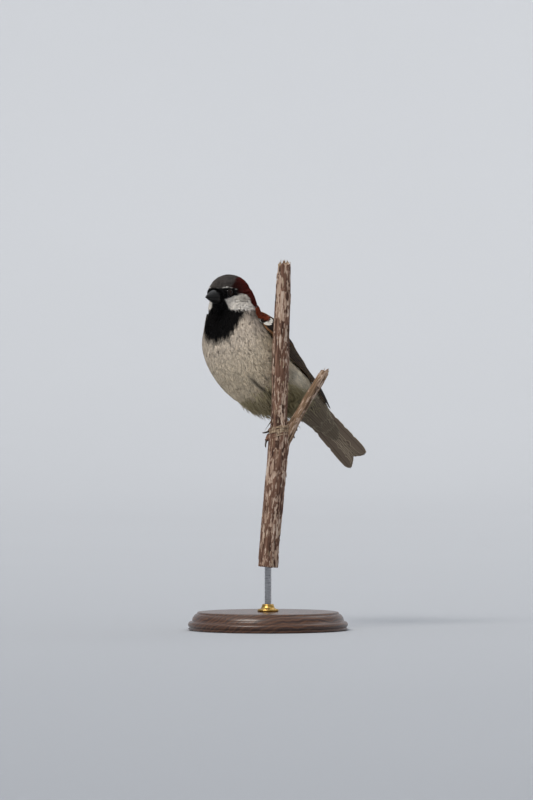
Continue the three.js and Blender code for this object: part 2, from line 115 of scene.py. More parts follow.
def smooth(rows, t):
    """Rows of numbers interpolated smoothly; t runs from 0 to 1 over the whole row."""
    rows = np.asarray(rows, float)
    last = len(rows) - 1
    x = np.clip(np.asarray(t, float), 0, 1) * last
    i = np.minimum(x.astype(int), last - 1)
    f = (x - i)[..., None]
    p0, p1, p2, p3 = (rows[np.clip(i + k, 0, last)] for k in (-1, 0, 1, 2))
    slope1 = (p2 - p0) / 2
    slope2 = (p3 - p1) / 2
    cubic = 2 * p1 - 2 * p2 + slope1 + slope2
    square = -3 * p1 + 3 * p2 - 2 * slope1 - slope2
    return ((cubic * f + square) * f + slope1) * f + p1


def table(places, values, at):
    """A value read off a short table, with soft steps between its rows."""
    return np.interp(at, places, values)


def body_frame(t):
    """Centre, forward, left and up of the trunk at t: 0 is the tail coverts and 1 the neck's top."""
    step = 0.01
    rows = smooth(SPINE, t)
    ahead = smooth(SPINE[:, :3], np.minimum(t + step, 1))
    behind = smooth(SPINE[:, :3], np.maximum(t - step, 0))
    forward = unit(ahead - behind)
    left = across(rows[..., 3:6], forward)
    return rows, forward, left, np.cross(forward, left)


def body_point(t, angle, offset=0.0):
    """A point of the plumage: angle 0 is the bird's left side and a quarter turn on is its back."""
    t, angle, offset = np.broadcast_arrays(np.asarray(t, float), angle, offset)
    rows, _, left, up = body_frame(t)
    rise = np.sin(angle)
    depth = np.where(rise > 0, rows[..., 7], rows[..., 8]) + offset
    sideways = (rows[..., 6] + offset) * np.cos(angle)
    return rows[..., :3] + sideways[..., None] * left + (rise * depth)[..., None] * up


SPINE_SAMPLES = np.linspace(0, 1, 241)


def body_coordinates(points):
    """Where points lie on the trunk: t along it, and the angle round it."""
    centres = smooth(SPINE[:, :3], SPINE_SAMPLES)
    nearest = np.empty(len(points), int)
    for start in range(0, len(points), 20000):
        part = points[start:start + 20000]
        gap = (part ** 2).sum(1)[:, None] - 2 * part @ centres.T + (centres ** 2).sum(1)
        nearest[start:start + 20000] = gap.argmin(1)
    half_step = 0.5 * (SPINE_SAMPLES[1] - SPINE_SAMPLES[0])
    speed = np.linalg.norm(np.gradient(centres, SPINE_SAMPLES, axis=0), axis=1)[nearest]
    t = SPINE_SAMPLES[nearest]
    rows, forward, _, _ = body_frame(t)
    t = np.clip(t + np.clip(dots(points - rows[:, :3], forward) / speed, -half_step, half_step), 0, 1)
    rows, _, left, up = body_frame(t)
    away = points - rows[:, :3]
    rise = dots(away, up)
    depth = np.where(rise > 0, rows[:, 7], rows[:, 8])
    return t, np.arctan2(rise / depth, dots(away, left) / rows[:, 6])


def side_level(angle):
    """Degrees above the bird's side line, on either side: 90 is the back and -90 the belly."""
    level = np.degrees(np.where(np.cos(angle) >= 0, angle, math.pi - angle))
    return (level + 180) % 360 - 180


def wing_edges(t):
    """The levels of the folded wing's lower and upper edges."""
    return table(WING_PLACES, WING_LOW, t), table(WING_PLACES, WING_HIGH, t)


def head_coordinates(points):
    """Distances ahead of the head's centre, to the bird's left of it and above it."""
    away = points - HEAD_CENTRE
    return away @ HEAD_FORWARD, away @ HEAD_LEFT, away[:, 2]


def head_point(ahead, side, rise):
    ahead, side, rise = (np.asarray(x, float)[..., None] for x in (ahead, side, rise))
    return HEAD_CENTRE + ahead * HEAD_FORWARD + side * HEAD_LEFT + rise * UP


def noise(points, size, seed=0):
    """Smooth noise from 0 to 1 with features about size millimetres across."""
    p = np.asarray(points, float) / size + seed * 17.31
    cell = np.floor(p).astype(np.int64)
    f = p - cell
    f = f * f * (3 - 2 * f)
    total = np.zeros(p.shape[:-1])
    for corner in itertools.product((0, 1), repeat=3):
        x, y, z = ((cell[..., k] + corner[k]) for k in range(3))
        n = (x * 73856093) ^ (y * 19349663) ^ (z * 83492791)
        n = (n ^ (n >> 13)) * 1274126177
        value = ((n ^ (n >> 16)) & 0xFFFF) / 65535
        weight = np.ones_like(total)
        for k in range(3):
            weight = weight * (f[..., k] if corner[k] else 1 - f[..., k])
        total += weight * value
    return total


def tint(red, green, blue):
    """A colour given in display values from 0 to 255, as linear values."""
    c = np.array([red, green, blue], float) / 255
    return np.where(c <= 0.04045, c / 12.92, ((c + 0.055) / 1.055) ** 2.4)


def blend(first, second, share):
    """Colours mixed row by row; share 0 gives the first and 1 the second."""
    return first + (second - first) * np.asarray(share)[..., None]


# ---- making pieces
def new_piece(name, points, faces, material, slot=None):
    """A smooth mesh piece from points in millimetres and an array of triangles or of quads."""
    faces = np.asarray(faces, np.int32)
    mesh = bpy.data.meshes.new(name)
    mesh.vertices.add(len(points))
    mesh.vertices.foreach_set("co", (np.asarray(points) * MM).astype(np.float32).ravel())
    mesh.loops.add(faces.size)
    mesh.loops.foreach_set("vertex_index", faces.ravel())
    mesh.polygons.add(len(faces))
    starts = np.arange(0, faces.size, faces.shape[1], dtype=np.int32)
    mesh.polygons.foreach_set("loop_start", starts)
    mesh.update(calc_edges=True)
    return placed(mesh, name, material, slot)


def placed(mesh, name, material, slot):
    """A smooth mesh as a piece of the scene; when a slot is passed, as for all but the floor, it rides on the
    body.
    """
    mesh.polygons.foreach_set("use_smooth", np.ones(len(mesh.polygons), bool))
    mesh.materials.clear()
    mesh.materials.append(material)
    piece = bpy.data.objects.new(name, mesh)
    bpy.context.scene.collection.objects.link(piece)
    if slot:
        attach(piece, BODY)
    return piece


def paint(piece, name, values, kind="FLOAT_COLOR"):
    """Stores a value for each point of the piece: a colour, a vector or a number."""
    values = np.asarray(values, np.float32)
    layer = piece.data.attributes.new(name, kind, "POINT")
    if kind == "FLOAT_COLOR":
        if values.shape[1] == 3:
            values = np.column_stack([values, np.ones(len(values), np.float32)])
        layer.data.foreach_set("color", values.ravel())
    elif kind == "FLOAT_VECTOR":
        layer.data.foreach_set("vector", values.ravel())
    else:
        layer.data.foreach_set("value", values.ravel())


def read(rows, key, width, kind=np.float32):
    """One value of every row of a mesh's list, as an array with width columns."""
    values = np.empty(len(rows) * width, kind)
    rows.foreach_get(key, values)
    return values.reshape(-1, width)


def bake_map(piece, places):
    """The piece's map for baking, from one place in it for each point."""
    layer = piece.data.uv_layers.new(name="OFBake")
    corners = read(piece.data.loops, "vertex_index", 1, np.int32).ravel()
    layer.uv.foreach_set("vector", np.asarray(places, np.float32)[corners].ravel())


def grid_faces(rows, columns):
    """Quads of an open-ended tube of points, ring after ring."""
    r = np.arange(rows - 1)[:, None]
    c = np.arange(columns)[None, :]
    a = r * columns + c
    b = r * columns + (c + 1) % columns
    return np.stack([a, b, b + columns, a + columns], -1).reshape(-1, 4)


def halved(quads):
    """Each quad as two triangles."""
    return np.vstack([quads[:, [0, 1, 2]], quads[:, [0, 2, 3]]])


def close_ends(points, faces, rows, columns):
    """Closes both ends of a tube of quads with fans; returns its points and its triangles."""
    fans = []
    for end in (0, rows - 1):
        ring = np.arange(columns) + end * columns
        hub = len(points)
        points = np.vstack([points, points[ring].mean(0)])
        following = np.roll(ring, -1)
        first, second = (following, ring) if end == 0 else (ring, following)
        fans.append(np.stack([first, second, np.full(columns, hub)], -1))
    return points, np.vstack([halved(faces), *fans])


def faced_out(points, triangles):
    """The triangles of a closed shape, turned to face outwards."""
    a, b, c = (points[triangles[:, k]] for k in range(3))
    inside_out = dots(a, np.cross(b, c)).sum() < 0
    return triangles[:, ::-1] if inside_out else triangles


def sweep(path, radii, sides, steps, shape=None):
    """A closed tube along a smooth path. shape(along, angle) multiplies its radius.

    Returns its points, its triangles and, for each point, its distance along and its angle."""
    radii = np.asarray(radii, float)[:, None]
    t = np.linspace(0, 1, steps + 1)
    centres = smooth(path, t)
    tangents = unit(np.gradient(centres, axis=0))
    side = UP if abs(tangents[0][2]) < 0.9 else np.array([1.0, 0, 0])
    rows = []
    distance = np.concatenate([[0], np.cumsum(np.linalg.norm(np.diff(centres, axis=0), axis=1))])
    angle = np.linspace(0, 2 * math.pi, sides, endpoint=False)
    for i, centre in enumerate(centres):
        side = across(side, tangents[i])
        other = np.cross(tangents[i], side)
        radius = smooth(radii, t[i:i + 1])[0, 0]
        swell = shape(distance[i], angle) if shape else 1.0
        ring = np.cos(angle)[:, None] * side + np.sin(angle)[:, None] * other
        rows.append(centre + ring * (radius * swell * np.ones(sides))[:, None])
    points = np.vstack(rows)
    faces = grid_faces(steps + 1, sides)
    points, triangles = close_ends(points, faces, steps + 1, sides)
    along = np.concatenate([np.repeat(distance, sides), [0, distance[-1]]])
    around = np.concatenate([np.tile(angle, steps + 1), [0, 0]])
    return points, triangles, along, around


def joined(parts):
    """Several (points, triangles) as one."""
    start = np.cumsum([0] + [len(points) for points, _ in parts])
    points = np.vstack([points for points, _ in parts])
    return points, np.vstack([faces + s for (_, faces), s in zip(parts, start)])


# ---- shader node helpers
def new_material(name, **sockets):
    """A material with a Principled shader, whose plain values are set on its own sockets."""
    material = bpy.data.materials.new(name)
    material.use_nodes = True
    shader = material.node_tree.nodes["Principled BSDF"]
    for socket, value in sockets.items():
        shader.inputs[socket.replace("_", " ")].default_value = value
    return material, material.node_tree, shader


def node(tree, kind, inputs=None, **settings):
    """A node with its settings and its inputs; an input is a plain value or another output."""
    made = tree.nodes.new(kind)
    for key, value in settings.items():
        setattr(made, key, value)
    for key, value in (inputs or {}).items():
        if isinstance(value, bpy.types.NodeSocket):
            tree.links.new(value, made.inputs[key])
        else:
            made.inputs[key].default_value = value
    return made


def math_node(tree, operation, first, second=0.0):
    return node(tree, "ShaderNodeMath", {0: first, 1: second}, operation=operation).outputs[0]


def times(tree, first, second):
    return math_node(tree, "MULTIPLY", first, second)


def plus(tree, first, second):
    return math_node(tree, "ADD", first, second)


def minus(tree, first, second):
    return math_node(tree, "SUBTRACT", first, second)


def swung(tree, value, swing, least):
    """A value that follows another: least where that is 0, and more by swing where it is 1."""
    return plus(tree, times(tree, value, swing), least)


def scaled(tree, vector, factors):
    """A vector or a colour multiplied part by part."""
    inputs = {0: vector, 1: factors}
    return node(tree, "ShaderNodeVectorMath", inputs, operation="MULTIPLY").outputs[0]


def own_place(tree):
    """The piece's own coordinates, in metres."""
    return node(tree, "ShaderNodeTexCoord").outputs["Object"]


def noise_texture(tree, place, scale, detail, **more):
    inputs = {"Vector": place, "Scale": scale, "Detail": detail, **more}
    return node(tree, "ShaderNodeTexNoise", inputs).outputs["Fac"]


def colour_input(shade):
    """An output as it is, or a plain colour with full alpha."""
    return shade if isinstance(shade, bpy.types.NodeSocket) else (*shade, 1.0)


def mix_node(tree, share, first, second):
    """Two colours mixed; share 0 gives the first and 1 the second."""
    inputs = {"Factor": share, 6: colour_input(first), 7: colour_input(second)}
    return node(tree, "ShaderNodeMix", inputs, data_type="RGBA").outputs[2]


def soft_step(tree, value, low, high):
    inputs = {"Value": value, "From Min": low, "From Max": high}
    return node(tree, "ShaderNodeMapRange", inputs, interpolation_type="SMOOTHSTEP").outputs[0]


def ramp_node(tree, value, stops):
    """A colour ramp from (place, colour) stops."""
    made = node(tree, "ShaderNodeValToRGB", {"Fac": value})
    elements = made.color_ramp.elements
    while len(elements) < len(stops):
        elements.new(0.5)
    for element, (place, shade) in zip(elements, stops):
        element.position = place
        element.color = (*shade, 1.0)
    return made.outputs["Color"]


def new_group(name, inputs, outputs):
    """An empty shader node group with named sockets, and its input and output nodes."""
    group = bpy.data.node_groups.new(name, "ShaderNodeTree")
    kinds = {"value": "NodeSocketFloat", "vector": "NodeSocketVector", "colour": "NodeSocketColor"}
    for label, (kind, default) in inputs.items():
        socket = group.interface.new_socket(name=label, in_out="INPUT", socket_type=kinds[kind])
        socket.default_value = default
    for label, kind in outputs.items():
        group.interface.new_socket(name=label, in_out="OUTPUT", socket_type=kinds[kind])
    return group, group.nodes.new("NodeGroupInput"), group.nodes.new("NodeGroupOutput")


def use_group(tree, group, inputs):
    return node(tree, "ShaderNodeGroup", inputs, node_tree=group)


def attribute(tree, name):
    return node(tree, "ShaderNodeAttribute", attribute_name=name)


def bump(tree, height, strength, distance):
    inputs = {"Height": height, "Strength": strength, "Distance": distance}
    return node(tree, "ShaderNodeBump", inputs).outputs[0]


def finish(tree, shader, shade, rough=None, relief=None):
    """Gives the shader its colour, and where asked its roughness and its relief.

    relief is a height, a strength and a depth in metres."""
    tree.links.new(shade, shader.inputs["Base Color"])
    if rough is not None:
        tree.links.new(rough, shader.inputs["Roughness"])
    if relief is not None:
        tree.links.new(bump(tree, *relief), shader.inputs["Normal"])


def mottle_group():
    """Uneven tone: a colour made lighter and darker in soft patches and in fine specks."""
    inputs = {
        "Colour": ("colour", (0.5, 0.5, 0.5, 1.0)),
        "Patch Scale": ("value", 120.0),
        "Speck Scale": ("value", 900.0),
        "Amount": ("value", 0.2),
    }
    group, source, result = new_group("mottle", inputs, {"Colour": "colour", "Height": "value"})
    place = own_place(group)
    patch = noise_texture(group, place, source.outputs["Patch Scale"], 3.0)
    speck = noise_texture(group, place, source.outputs["Speck Scale"], 2.0)
    swing = times(group, minus(group, plus(group, patch, speck), 1.0), source.outputs["Amount"])
    shade = scaled(group, source.outputs["Colour"], plus(group, swing, 1.0))
    group.links.new(shade, result.inputs["Colour"])
    group.links.new(speck, result.inputs["Height"])
    return group


def barb_group():
    """The fine slanting barbs of a vane, from its own coordinates: across it and along it."""
    inputs = {
        "Vane": ("vector", (0.0, 0.0, 0.0)),
        "Barbs": ("value", 70.0),
        "Slant": ("value", 0.25),
    }
    group, source, result = new_group("barbs", inputs, {"Line": "value", "Height": "value"})
    vane = node(group, "ShaderNodeSeparateXYZ", {0: source.outputs["Vane"]}).outputs
    barbs = source.outputs["Barbs"]
    outward = math_node(group, "ABSOLUTE", vane["X"])
    run = minus(group, vane["Y"], times(group, outward, source.outputs["Slant"]))
    axes = {"X": run, "Y": times(group, outward, 0.04), "Z": vane["Z"]}
    place = node(group, "ShaderNodeCombineXYZ", axes).outputs[0]
    fine = noise_texture(group, place, barbs, 2.0, Roughness=0.7)
    full_turn = 6.283
    wave = math_node(group, "SINE", times(group, times(group, run, barbs), full_turn))
    group.links.new(fine, result.inputs["Line"])
    group.links.new(plus(group, times(group, wave, 0.25), fine), result.inputs["Height"])
    return group


def grain_group():
    """Long streaks along a piece, from coordinates that run straight along it."""
    inputs = {
        "Vector": ("vector", (0.0, 0.0, 0.0)),
        "Scale": ("value", 400.0),
        "Stretch": ("value", 0.08),
        "Detail": ("value", 4.0),
    }
    group, source, result = new_group("grain", inputs, {"Streak": "value"})
    axes = {"X": 1.0, "Y": 1.0, "Z": source.outputs["Stretch"]}
    stretch = node(group, "ShaderNodeCombineXYZ", axes).outputs[0]
    place = scaled(group, source.outputs["Vector"], stretch)
    scale, detail = source.outputs["Scale"], source.outputs["Detail"]
    streak = noise_texture(group, place, scale, detail, Roughness=0.62)
    group.links.new(streak, result.inputs["Streak"])
    return group


MOTTLE = mottle_group()
BARBS = barb_group()
GRAIN = grain_group()


def streaks(tree, place, scale, stretch, detail):
    """Long streaks, from 0 to 1, that run straight along the place's third coordinate."""
    inputs = {"Vector": place, "Scale": scale, "Stretch": stretch, "Detail": detail}
    return use_group(tree, GRAIN, inputs).outputs["Streak"]


def mottled(tree, shade, patch_scale, speck_scale, amount):
    """The mottle group with its colour, its two scales and its amount."""
    inputs = {"Colour": colour_input(shade), "Patch Scale": patch_scale,
              "Speck Scale": speck_scale, "Amount": amount}
    return use_group(tree, MOTTLE, inputs)


# ---- plumage colours
GREY_CROWN = tint(74, 69, 66)
CHESTNUT = tint(80, 15, 5)
CHESTNUT_DARK = tint(40, 9, 5)
BLACK = tint(12, 10, 10)
CHEEK = tint(238, 231, 221)
CHEEK_GREY = tint(128, 120, 110)
WHITE = tint(232, 228, 220)
BREAST = tint(222, 208, 191)
BELLY = tint(226, 210, 184)
OLIVE = tint(152, 139, 105)
FLANK = tint(190, 174, 147)
FLANK_PALE = tint(230, 220, 200)
BREAST_SIDE = tint(164, 151, 140)
VENT = tint(162, 150, 129)
MANTLE = tint(128, 84, 52)
MANTLE_BUFF = tint(164, 132, 94)
RUMP = tint(118, 106, 92)
RUMP_DARK = tint(92, 80, 68)
UNDERTAIL = tint(112, 101, 86)
VENT_PALE = tint(168, 158, 138)
LESSER = tint(104, 44, 24)
SCAPULAR = tint(132, 76, 42)
FEATHER_STREAK = tint(26, 19, 16)
# the painted shadow in the crease between the belly's feathers and the flank's
PARTING_SHADOW = tint(52, 46, 36)
LID = tint(26, 22, 20)
SHAFT = tint(58, 44, 34)


def plain(shade, count):
    """One colour for each of count points."""
    return shade + np.zeros((count, 3))


def head_colour(points):
    """The head's markings."""
    ahead, side, rise = head_coordinates(points)
    count = len(points)
    wobble = 1.4 * (noise(points, 1.7, 3) - 0.5) + 1.2 * (noise(points, 4.0, 4) - 0.5)
    out = np.abs(side)
    # Pale cheek, greyer in the middle, with a whitish band below it.
    shade = plain(CHEEK, count)
    grey = np.exp(-(((ahead - 4.2) / 2.6) ** 2 + ((rise + 4.0) / 2.4) ** 2)) * ramp(out, 7, 10)
    shade = blend(shade, CHEEK_GREY, 0.7 * grey * (0.5 + noise(points, 1.2, 9)))
    # Chestnut from over the eye round to the nape, above and behind the cheek.
    cheek_top = table([-12, -2.8, -1.0, 0.6, 1.6, 3.0, 4.5, 8.0],
                      [-9.6, -9.6, -8.6, -6.6, -3.6, -1.4, -1.3, -2.2], ahead)
    front = table([-1, 0.4, 2.0, 3.2, 6.0, 9.0], [6.2, 6.8, 8.4, 10.8, 10.6, 9.0], rise)
    chestnut = ramp(rise + 0.5 * wobble - cheek_top, -0.5, 0.5) * ramp(front - ahead, -0.7, 0.7)
    red = blend(plain(CHESTNUT_DARK, count), CHESTNUT, ramp(-ahead + 5, -3, 9))
    shade = blend(shade, red, chestnut)
    # Grey crown, which narrows to the nape.
    crown_half = table([-12, -9, -6, 2, 7.4, 10.3, 13, 17],
                       [0, 2.0, 4.0, 6.5, 7.4, 7.8, 7.8, 7.0], ahead)
    crown = ramp(crown_half - out + 0.9 * wobble, -0.6, 0.6)
    crown *= ramp(rise - 2.0 + 0.3 * wobble, -0.5, 0.5)
    grizzle = 0.75 + 0.6 * noise(points, 0.9, 8)
    shade = blend(shade, GREY_CROWN * grizzle[:, None], crown)
    # Black mask: lore, round the eye and below it, and the chin.
    mask_foot = table([2, 4.5, 9.7, 11.5, 13, 17], [-0.9, -1.9, -3.0, -4.2, -5.0, -12.0], ahead)
    mask = ramp(rise - mask_foot + 0.45 * wobble, -0.4, 0.4) * ramp(ahead - 5.0 + wobble, -1.5, 1.0)
    mask *= ramp(2.3 - rise + 0.3 * wobble, -0.35, 0.35)
    shade = blend(shade, BLACK, mask)
    throat_half = table([-13, -11.4, -9.8, -6.2, -3], [12.0, 8.6, 5.4, 4.3, 5.4], rise)
    throat_half = throat_half + 2.6 * (side < 0)  # the turned head draws it round to the right
    throat = ramp(throat_half - out + 0.6 * wobble, -0.5, 0.5)
    throat *= ramp(ahead - 3.5, -1.5, 1.5) * ramp(-2.5 - rise, -1, 1)
    shade = blend(shade, BLACK, throat)
    # White streak over the lore and a small white spot behind the eye.
    streak = np.exp(-(((rise - 2.75 + 0.1 * (ahead - 12)) / 0.3) ** 2)) * ramp(ahead - 11.4, -0.5, 0.6)
    streak *= ramp(15.2 - ahead, -0.8, 0.6) * ramp(out, 3.6, 4.8) * (0.4 + 0.9 * noise(points, 0.8, 14))
    shade = blend(shade, WHITE, np.clip(streak, 0, 1))
    spot = np.exp(-(((ahead - 6.4) / 0.5) ** 2 + ((rise - 1.6) / 0.3) ** 2)) * ramp(out, 6, 8)
    return blend(shade, WHITE, 0.6 * spot)


def turned_from_belly(angle):
    """The turn round the trunk from the belly's middle line, in radians: above 0 on the left side."""
    return (angle + 1.5 * math.pi) % (2 * math.pi) - math.pi


def body_colour(points):
    """The trunk's markings and a painted crease shadow without the bib, and where the points lie on it."""
    t, angle = body_coordinates(points)
    count = len(points)
    turn = turned_from_belly(angle)
    beneath = np.abs(turn)
    patches = noise(points, 9.0, 7) - 0.5
    shade = blend(plain(BREAST, count), BELLY, ramp(0.62 - t, -0.12, 0.12))
    low_belly = ramp(0.43 - t + 0.1 * patches, -0.06, 0.1) * ramp(0.95 - beneath, -0.4, 0.5)
    shade = blend(shade, OLIVE, 0.85 * low_belly)
    shade = blend(shade, FLANK, 0.8 * ramp(beneath, 0.75, 1.4) * ramp(0.7 - t, -0.1, 0.1))
    breast_side = ramp(beneath + 0.3 * patches, 0.85, 1.35) * ramp(t, 0.6, 0.7)
    shade = blend(shade, BREAST_SIDE, 0.85 * breast_side)
    shade = blend(shade, VENT, ramp(0.27 - t, -0.05, 0.05))
    # Ruffled light and dark on the flank, with one pale patch.
    ruffle = noise(points * [1, 1, 0.55], 2.4, 15) + 0.6 * noise(points * [1, 1, 0.4], 1.1, 16) - 0.8
    ruffled = ramp(beneath, 0.5, 0.9) * ramp(0.56 - t, 0, 0.08) * ramp(t - 0.1, 0, 0.08)
    shade = shade * (1 + 1.7 * ruffle * ruffled)[:, None]
    patch = np.exp(-(((t - 0.34) / 0.06) ** 2 + ((beneath - 1.05) / 0.3) ** 2))
    shade = blend(shade, FLANK_PALE * (1 + 0.8 * ruffle)[:, None], 0.9 * patch)
    # A painted shadow in the crease where the belly's feathers part from the flank's on the left.
    parting_shadow = np.exp(-(((turn - 0.22) / 0.05) ** 2)) * ramp(t, 0.4, 0.43) * ramp(0.55 - t, 0, 0.03)
    shade = blend(shade, PARTING_SHADOW, 0.85 * parting_shadow)
    # The back: rump, then mantle, then the greyer hind neck.
    warm = blend(plain(RUMP, count), MANTLE, ramp(t, 0.42, 0.5))
    warm = blend(warm, CHEEK_GREY, 0.6 * ramp(t, 0.84, 0.88))
    return blend(shade, warm, ramp(beneath, 1.75, 1.95)), t, angle


def bib_share(points, t, angle):
    """How much of the black bib covers each point."""
    fine = points * [1, 1, 0.35]
    wobble = 0.3 * (noise(fine, 1.3, 11) - 0.5) + 0.22 * (noise(points, 4.5, 12) - 0.5)
    turn = turned_from_belly(angle)
    places = [0.60, 0.665, 0.69, 0.705, 0.712, 0.732, 0.782, 0.838, 0.875, 0.93, 1.0]
    left = table(places, [-2.0, -0.9, -0.45, -0.05, 0.1, 0.34, 0.6, 0.86, 1.0, 0.8, 0.6], t)
    right = table(places, [-2.0, -0.6, -0.1, 0.35, 0.6, 1.05, 1.35, 1.35, 1.2, 1.0, 0.6], t)
    return ramp(left - turn + wobble, -0.07, 0.07) * ramp(right + turn + wobble, -0.07, 0.07)


def plumage_colour(points):
    """The colour of the plumage at points, in linear values: the same for the skin and the coat."""
    shade, t, angle = body_colour(points)
    shade = blend(shade, BLACK, bib_share(points, t, angle))
    ahead, _, rise = head_coordinates(points)
    foot = table([-14, -4, -2.4, 17], [-9.4, -9.8, -11.2, -11.3], ahead)
    on_head = ramp(rise - foot + 0.5 * (noise(points, 1.4, 13) - 0.5), -0.3, 0.3)
    return blend(shade, head_colour(points), on_head)


# ---- the skin
class Surface:
    """A triangle mesh in millimetres that things are laid on."""

    def __init__(self, points, triangles, normals):
        self.points = points
        self.triangles = triangles
        self.normals = normals
        self.tree = BVHTree.FromPolygons(points.tolist(), triangles.tolist())

    def drop(self, points):
        """The nearest places on the surface, with their smooth normals."""
        found = [self.tree.find_nearest(p) for p in points.tolist()]
        place = np.array([f[0] for f in found])
        normal = unit(self.normals[self.triangles[[f[2] for f in found]]].sum(1))
        return place, normal

    def scatter(self, count, draw):
        """Places spread evenly at random over the surface, with the number of their triangle."""
        a, b, c = (self.points[self.triangles[:, k]] for k in range(3))
        area = np.linalg.norm(np.cross(b - a, c - a), axis=1)
        chosen = draw.choice(len(area), count, p=area / area.sum())
        u, v = draw.random((2, count))
        over = u + v > 1
        u, v = np.where(over, 1 - u, u), np.where(over, 1 - v, v)
        place = a[chosen] + u[:, None] * (b - a)[chosen] + v[:, None] * (c - a)[chosen]
        return place, unit(self.normals[self.triangles[chosen]].sum(1))


def mesh_arrays(mesh):
    """A mesh's points in millimetres, its triangles and its point normals."""
    mesh.calc_loop_triangles()
    points = read(mesh.vertices, "co", 3).astype(float) / MM
    triangles = read(mesh.loop_triangles, "vertices", 3, np.int32)
    return points, triangles, read(mesh.vertex_normals, "vector", 3).astype(float)


def merged_solids(names, grow, voxel, rounds):
    """Copies of solids grown a little, melted into one closed skin and smoothed."""
    work = bmesh.new()
    for name in names:
        work.from_mesh(nodes[name].data)
    bmesh.ops.remove_doubles(work, verts=work.verts, dist=2e-6)
    work.normal_update()
    for v in work.verts:
        v.co += v.normal * grow * MM
    mesh = bpy.data.meshes.new("melt")
    work.to_mesh(mesh)
    work.free()
    melt = bpy.data.objects.new("melt", mesh)
    bpy.context.scene.collection.objects.link(melt)
    remesh = melt.modifiers.new("melt", "REMESH")
    remesh.mode = "VOXEL"
    remesh.voxel_size = voxel * MM
    relax = melt.modifiers.new("relax", "SMOOTH")
    relax.factor = 0.5
    relax.iterations = rounds
    made = bpy.data.meshes.new_from_object(melt.evaluated_get(bpy.context.evaluated_depsgraph_get()))
    bpy.data.objects.remove(melt)
    return made


SKIN_GROW = 0.25
SKIN_VOXEL = 0.6
SKIN_ROUNDS = 6
EYE_RING, EYE_BARE = 3.2, 3.5  # the short feathers start at the first, the roots at the second


def eye_centre(side):
    return head_point(EYE_AHEAD, side * (EYE_OUT - EYE_RADIUS), EYE_RISE)


def eye_gap(points):
    """Distance to the centre of the nearer eye."""
    return np.min([np.linalg.norm(points - eye_centre(s), axis=1) for s in (1, -1)], axis=0)


def near_face(points):
    """1 by the eyes and the bill's root, falling to 0 a few millimetres away."""
    gap = eye_gap(points) - EYE_RING
    ahead, side, rise = head_coordinates(points)
    bill = np.sqrt(((ahead - 15.8) / 1.4) ** 2 + side ** 2 + (rise + 2.5) ** 2) - 4.0
    return 1 - ramp(np.minimum(gap, bill), 0.3, 3.2)


def coat_depth(points):
    """How far the coat stands over the skin."""
    t, _ = body_coordinates(points)
    rows = smooth(SPINE[:, 6:9], t)
    body = np.minimum(1.5, 0.32 * rows.min(1))
    depth = body + (1.0 - body) * ramp(t, 0.8, 0.9)
    return depth + (0.32 - depth) * near_face(points)


def throat_hollow(points):
    """How far the plumage sinks in under the chin, between the bill and the breast."""
    deep = table([170, 178, 185, 188, 191, 194, 196.5], [0, 0.9, 1.2, 2.0, 2.3, 0.9, 0], points[:, 2])
    return deep * ramp(-points[:, 0], 27, 34)


def make_skin():
    """One skin for the trunk, neck and head, which lies inside them by the coat's depth."""
    mesh = merged_solids(["trunk", "neck", "head"], SKIN_GROW, SKIN_VOXEL, SKIN_ROUNDS)
    points, _, normals = mesh_arrays(mesh)
    depth = coat_depth(points) + SKIN_GROW + throat_hollow(points)
    inside = points - normals * depth[:, None]
    mesh.vertices.foreach_set("co", (inside * MM).astype(np.float32).ravel())
    mesh.update()
    return mesh


class Shell:
    """The outside of the plumage where it runs over the folded wings: a height over the trunk."""

    def __init__(self, height):
        self.height = height

    def point(self, t, angle):
        t = np.clip(t, 0, 1)
        return body_point(t, angle, self.height(t, side_level(angle), np.cos(angle) >= 0))

    def drop(self, points):
        t, angle = body_coordinates(points)
        place = self.point(t, angle)
        onward = self.point(t + 0.012, angle) - self.point(t - 0.012, angle)
        round_it = self.point(t, angle + 0.04) - self.point(t, angle - 0.04)
        normal = unit(np.cross(round_it, onward))
        outward = place - body_point(t, angle, -6.0)
        return place, normal * np.sign(dots(normal, outward))[:, None]


RIGHT_PRESS = 0.5  # the right wing is folded closer, and sunk in the breast's feathers
RIGHT_SUNK = 2.0


def over_wing(t, level, on_left):
    """Height over the trunk of what lies on the folded wing."""
    low, high = wing_edges(t)
    start = np.where(on_left, low - 9, low - 40)
    under = ramp((level - start) / (low + 4 - start), 0, 1) * ramp(high + 9 - level, 0, 12)
    thick = table([0.1, 0.3, 0.5, 0.62, 0.72, 0.79, 0.84, 0.88], [2.0, 2.9, 3.3, 3.7, 3.6, 2.6, 1.2, 0.2], t)
    return 0.1 + under * thick * np.where(on_left, 1.0, 0.08 + (RIGHT_PRESS - 0.08) * ramp(level, 15, 45))


class Dressed:
    """The skin with the right wing's lower half under it, where the breast's feathers cover it."""

    def __init__(self, skin):
        self.skin = skin

    def drop(self, points):
        place, normal = self.skin.drop(points)
        t, angle = body_coordinates(place)
        on_left = np.cos(angle) >= 0
        rise = over_wing(t, side_level(angle), on_left) * ramp(t, 0.26, 0.42) * ~on_left
        return place + normal * rise[:, None], normal


def flow_at(points, normals):
    """The way the plumage lies: back from the bill over the head, and towards the tail below it."""
    t, _ = body_coordinates(points)
    _, forward, _, _ = body_frame(t)
    ahead, side, rise = head_coordinates(points)
    droop = table([-12, -6, 0, 6, 12, 17], [1.4, 1.0, 0.5, 0.22, 0.12, 0.05], ahead)
    droop = np.where(rise < -5, droop + 0.5, droop)
    head = -HEAD_FORWARD - droop[:, None] * UP
    head = head - 0.25 * np.sign(side)[:, None] * HEAD_LEFT * ramp(-ahead, -4, 10)[:, None]
    return across(blend(-forward, head, ramp(t, 0.84, 0.93)), normals)


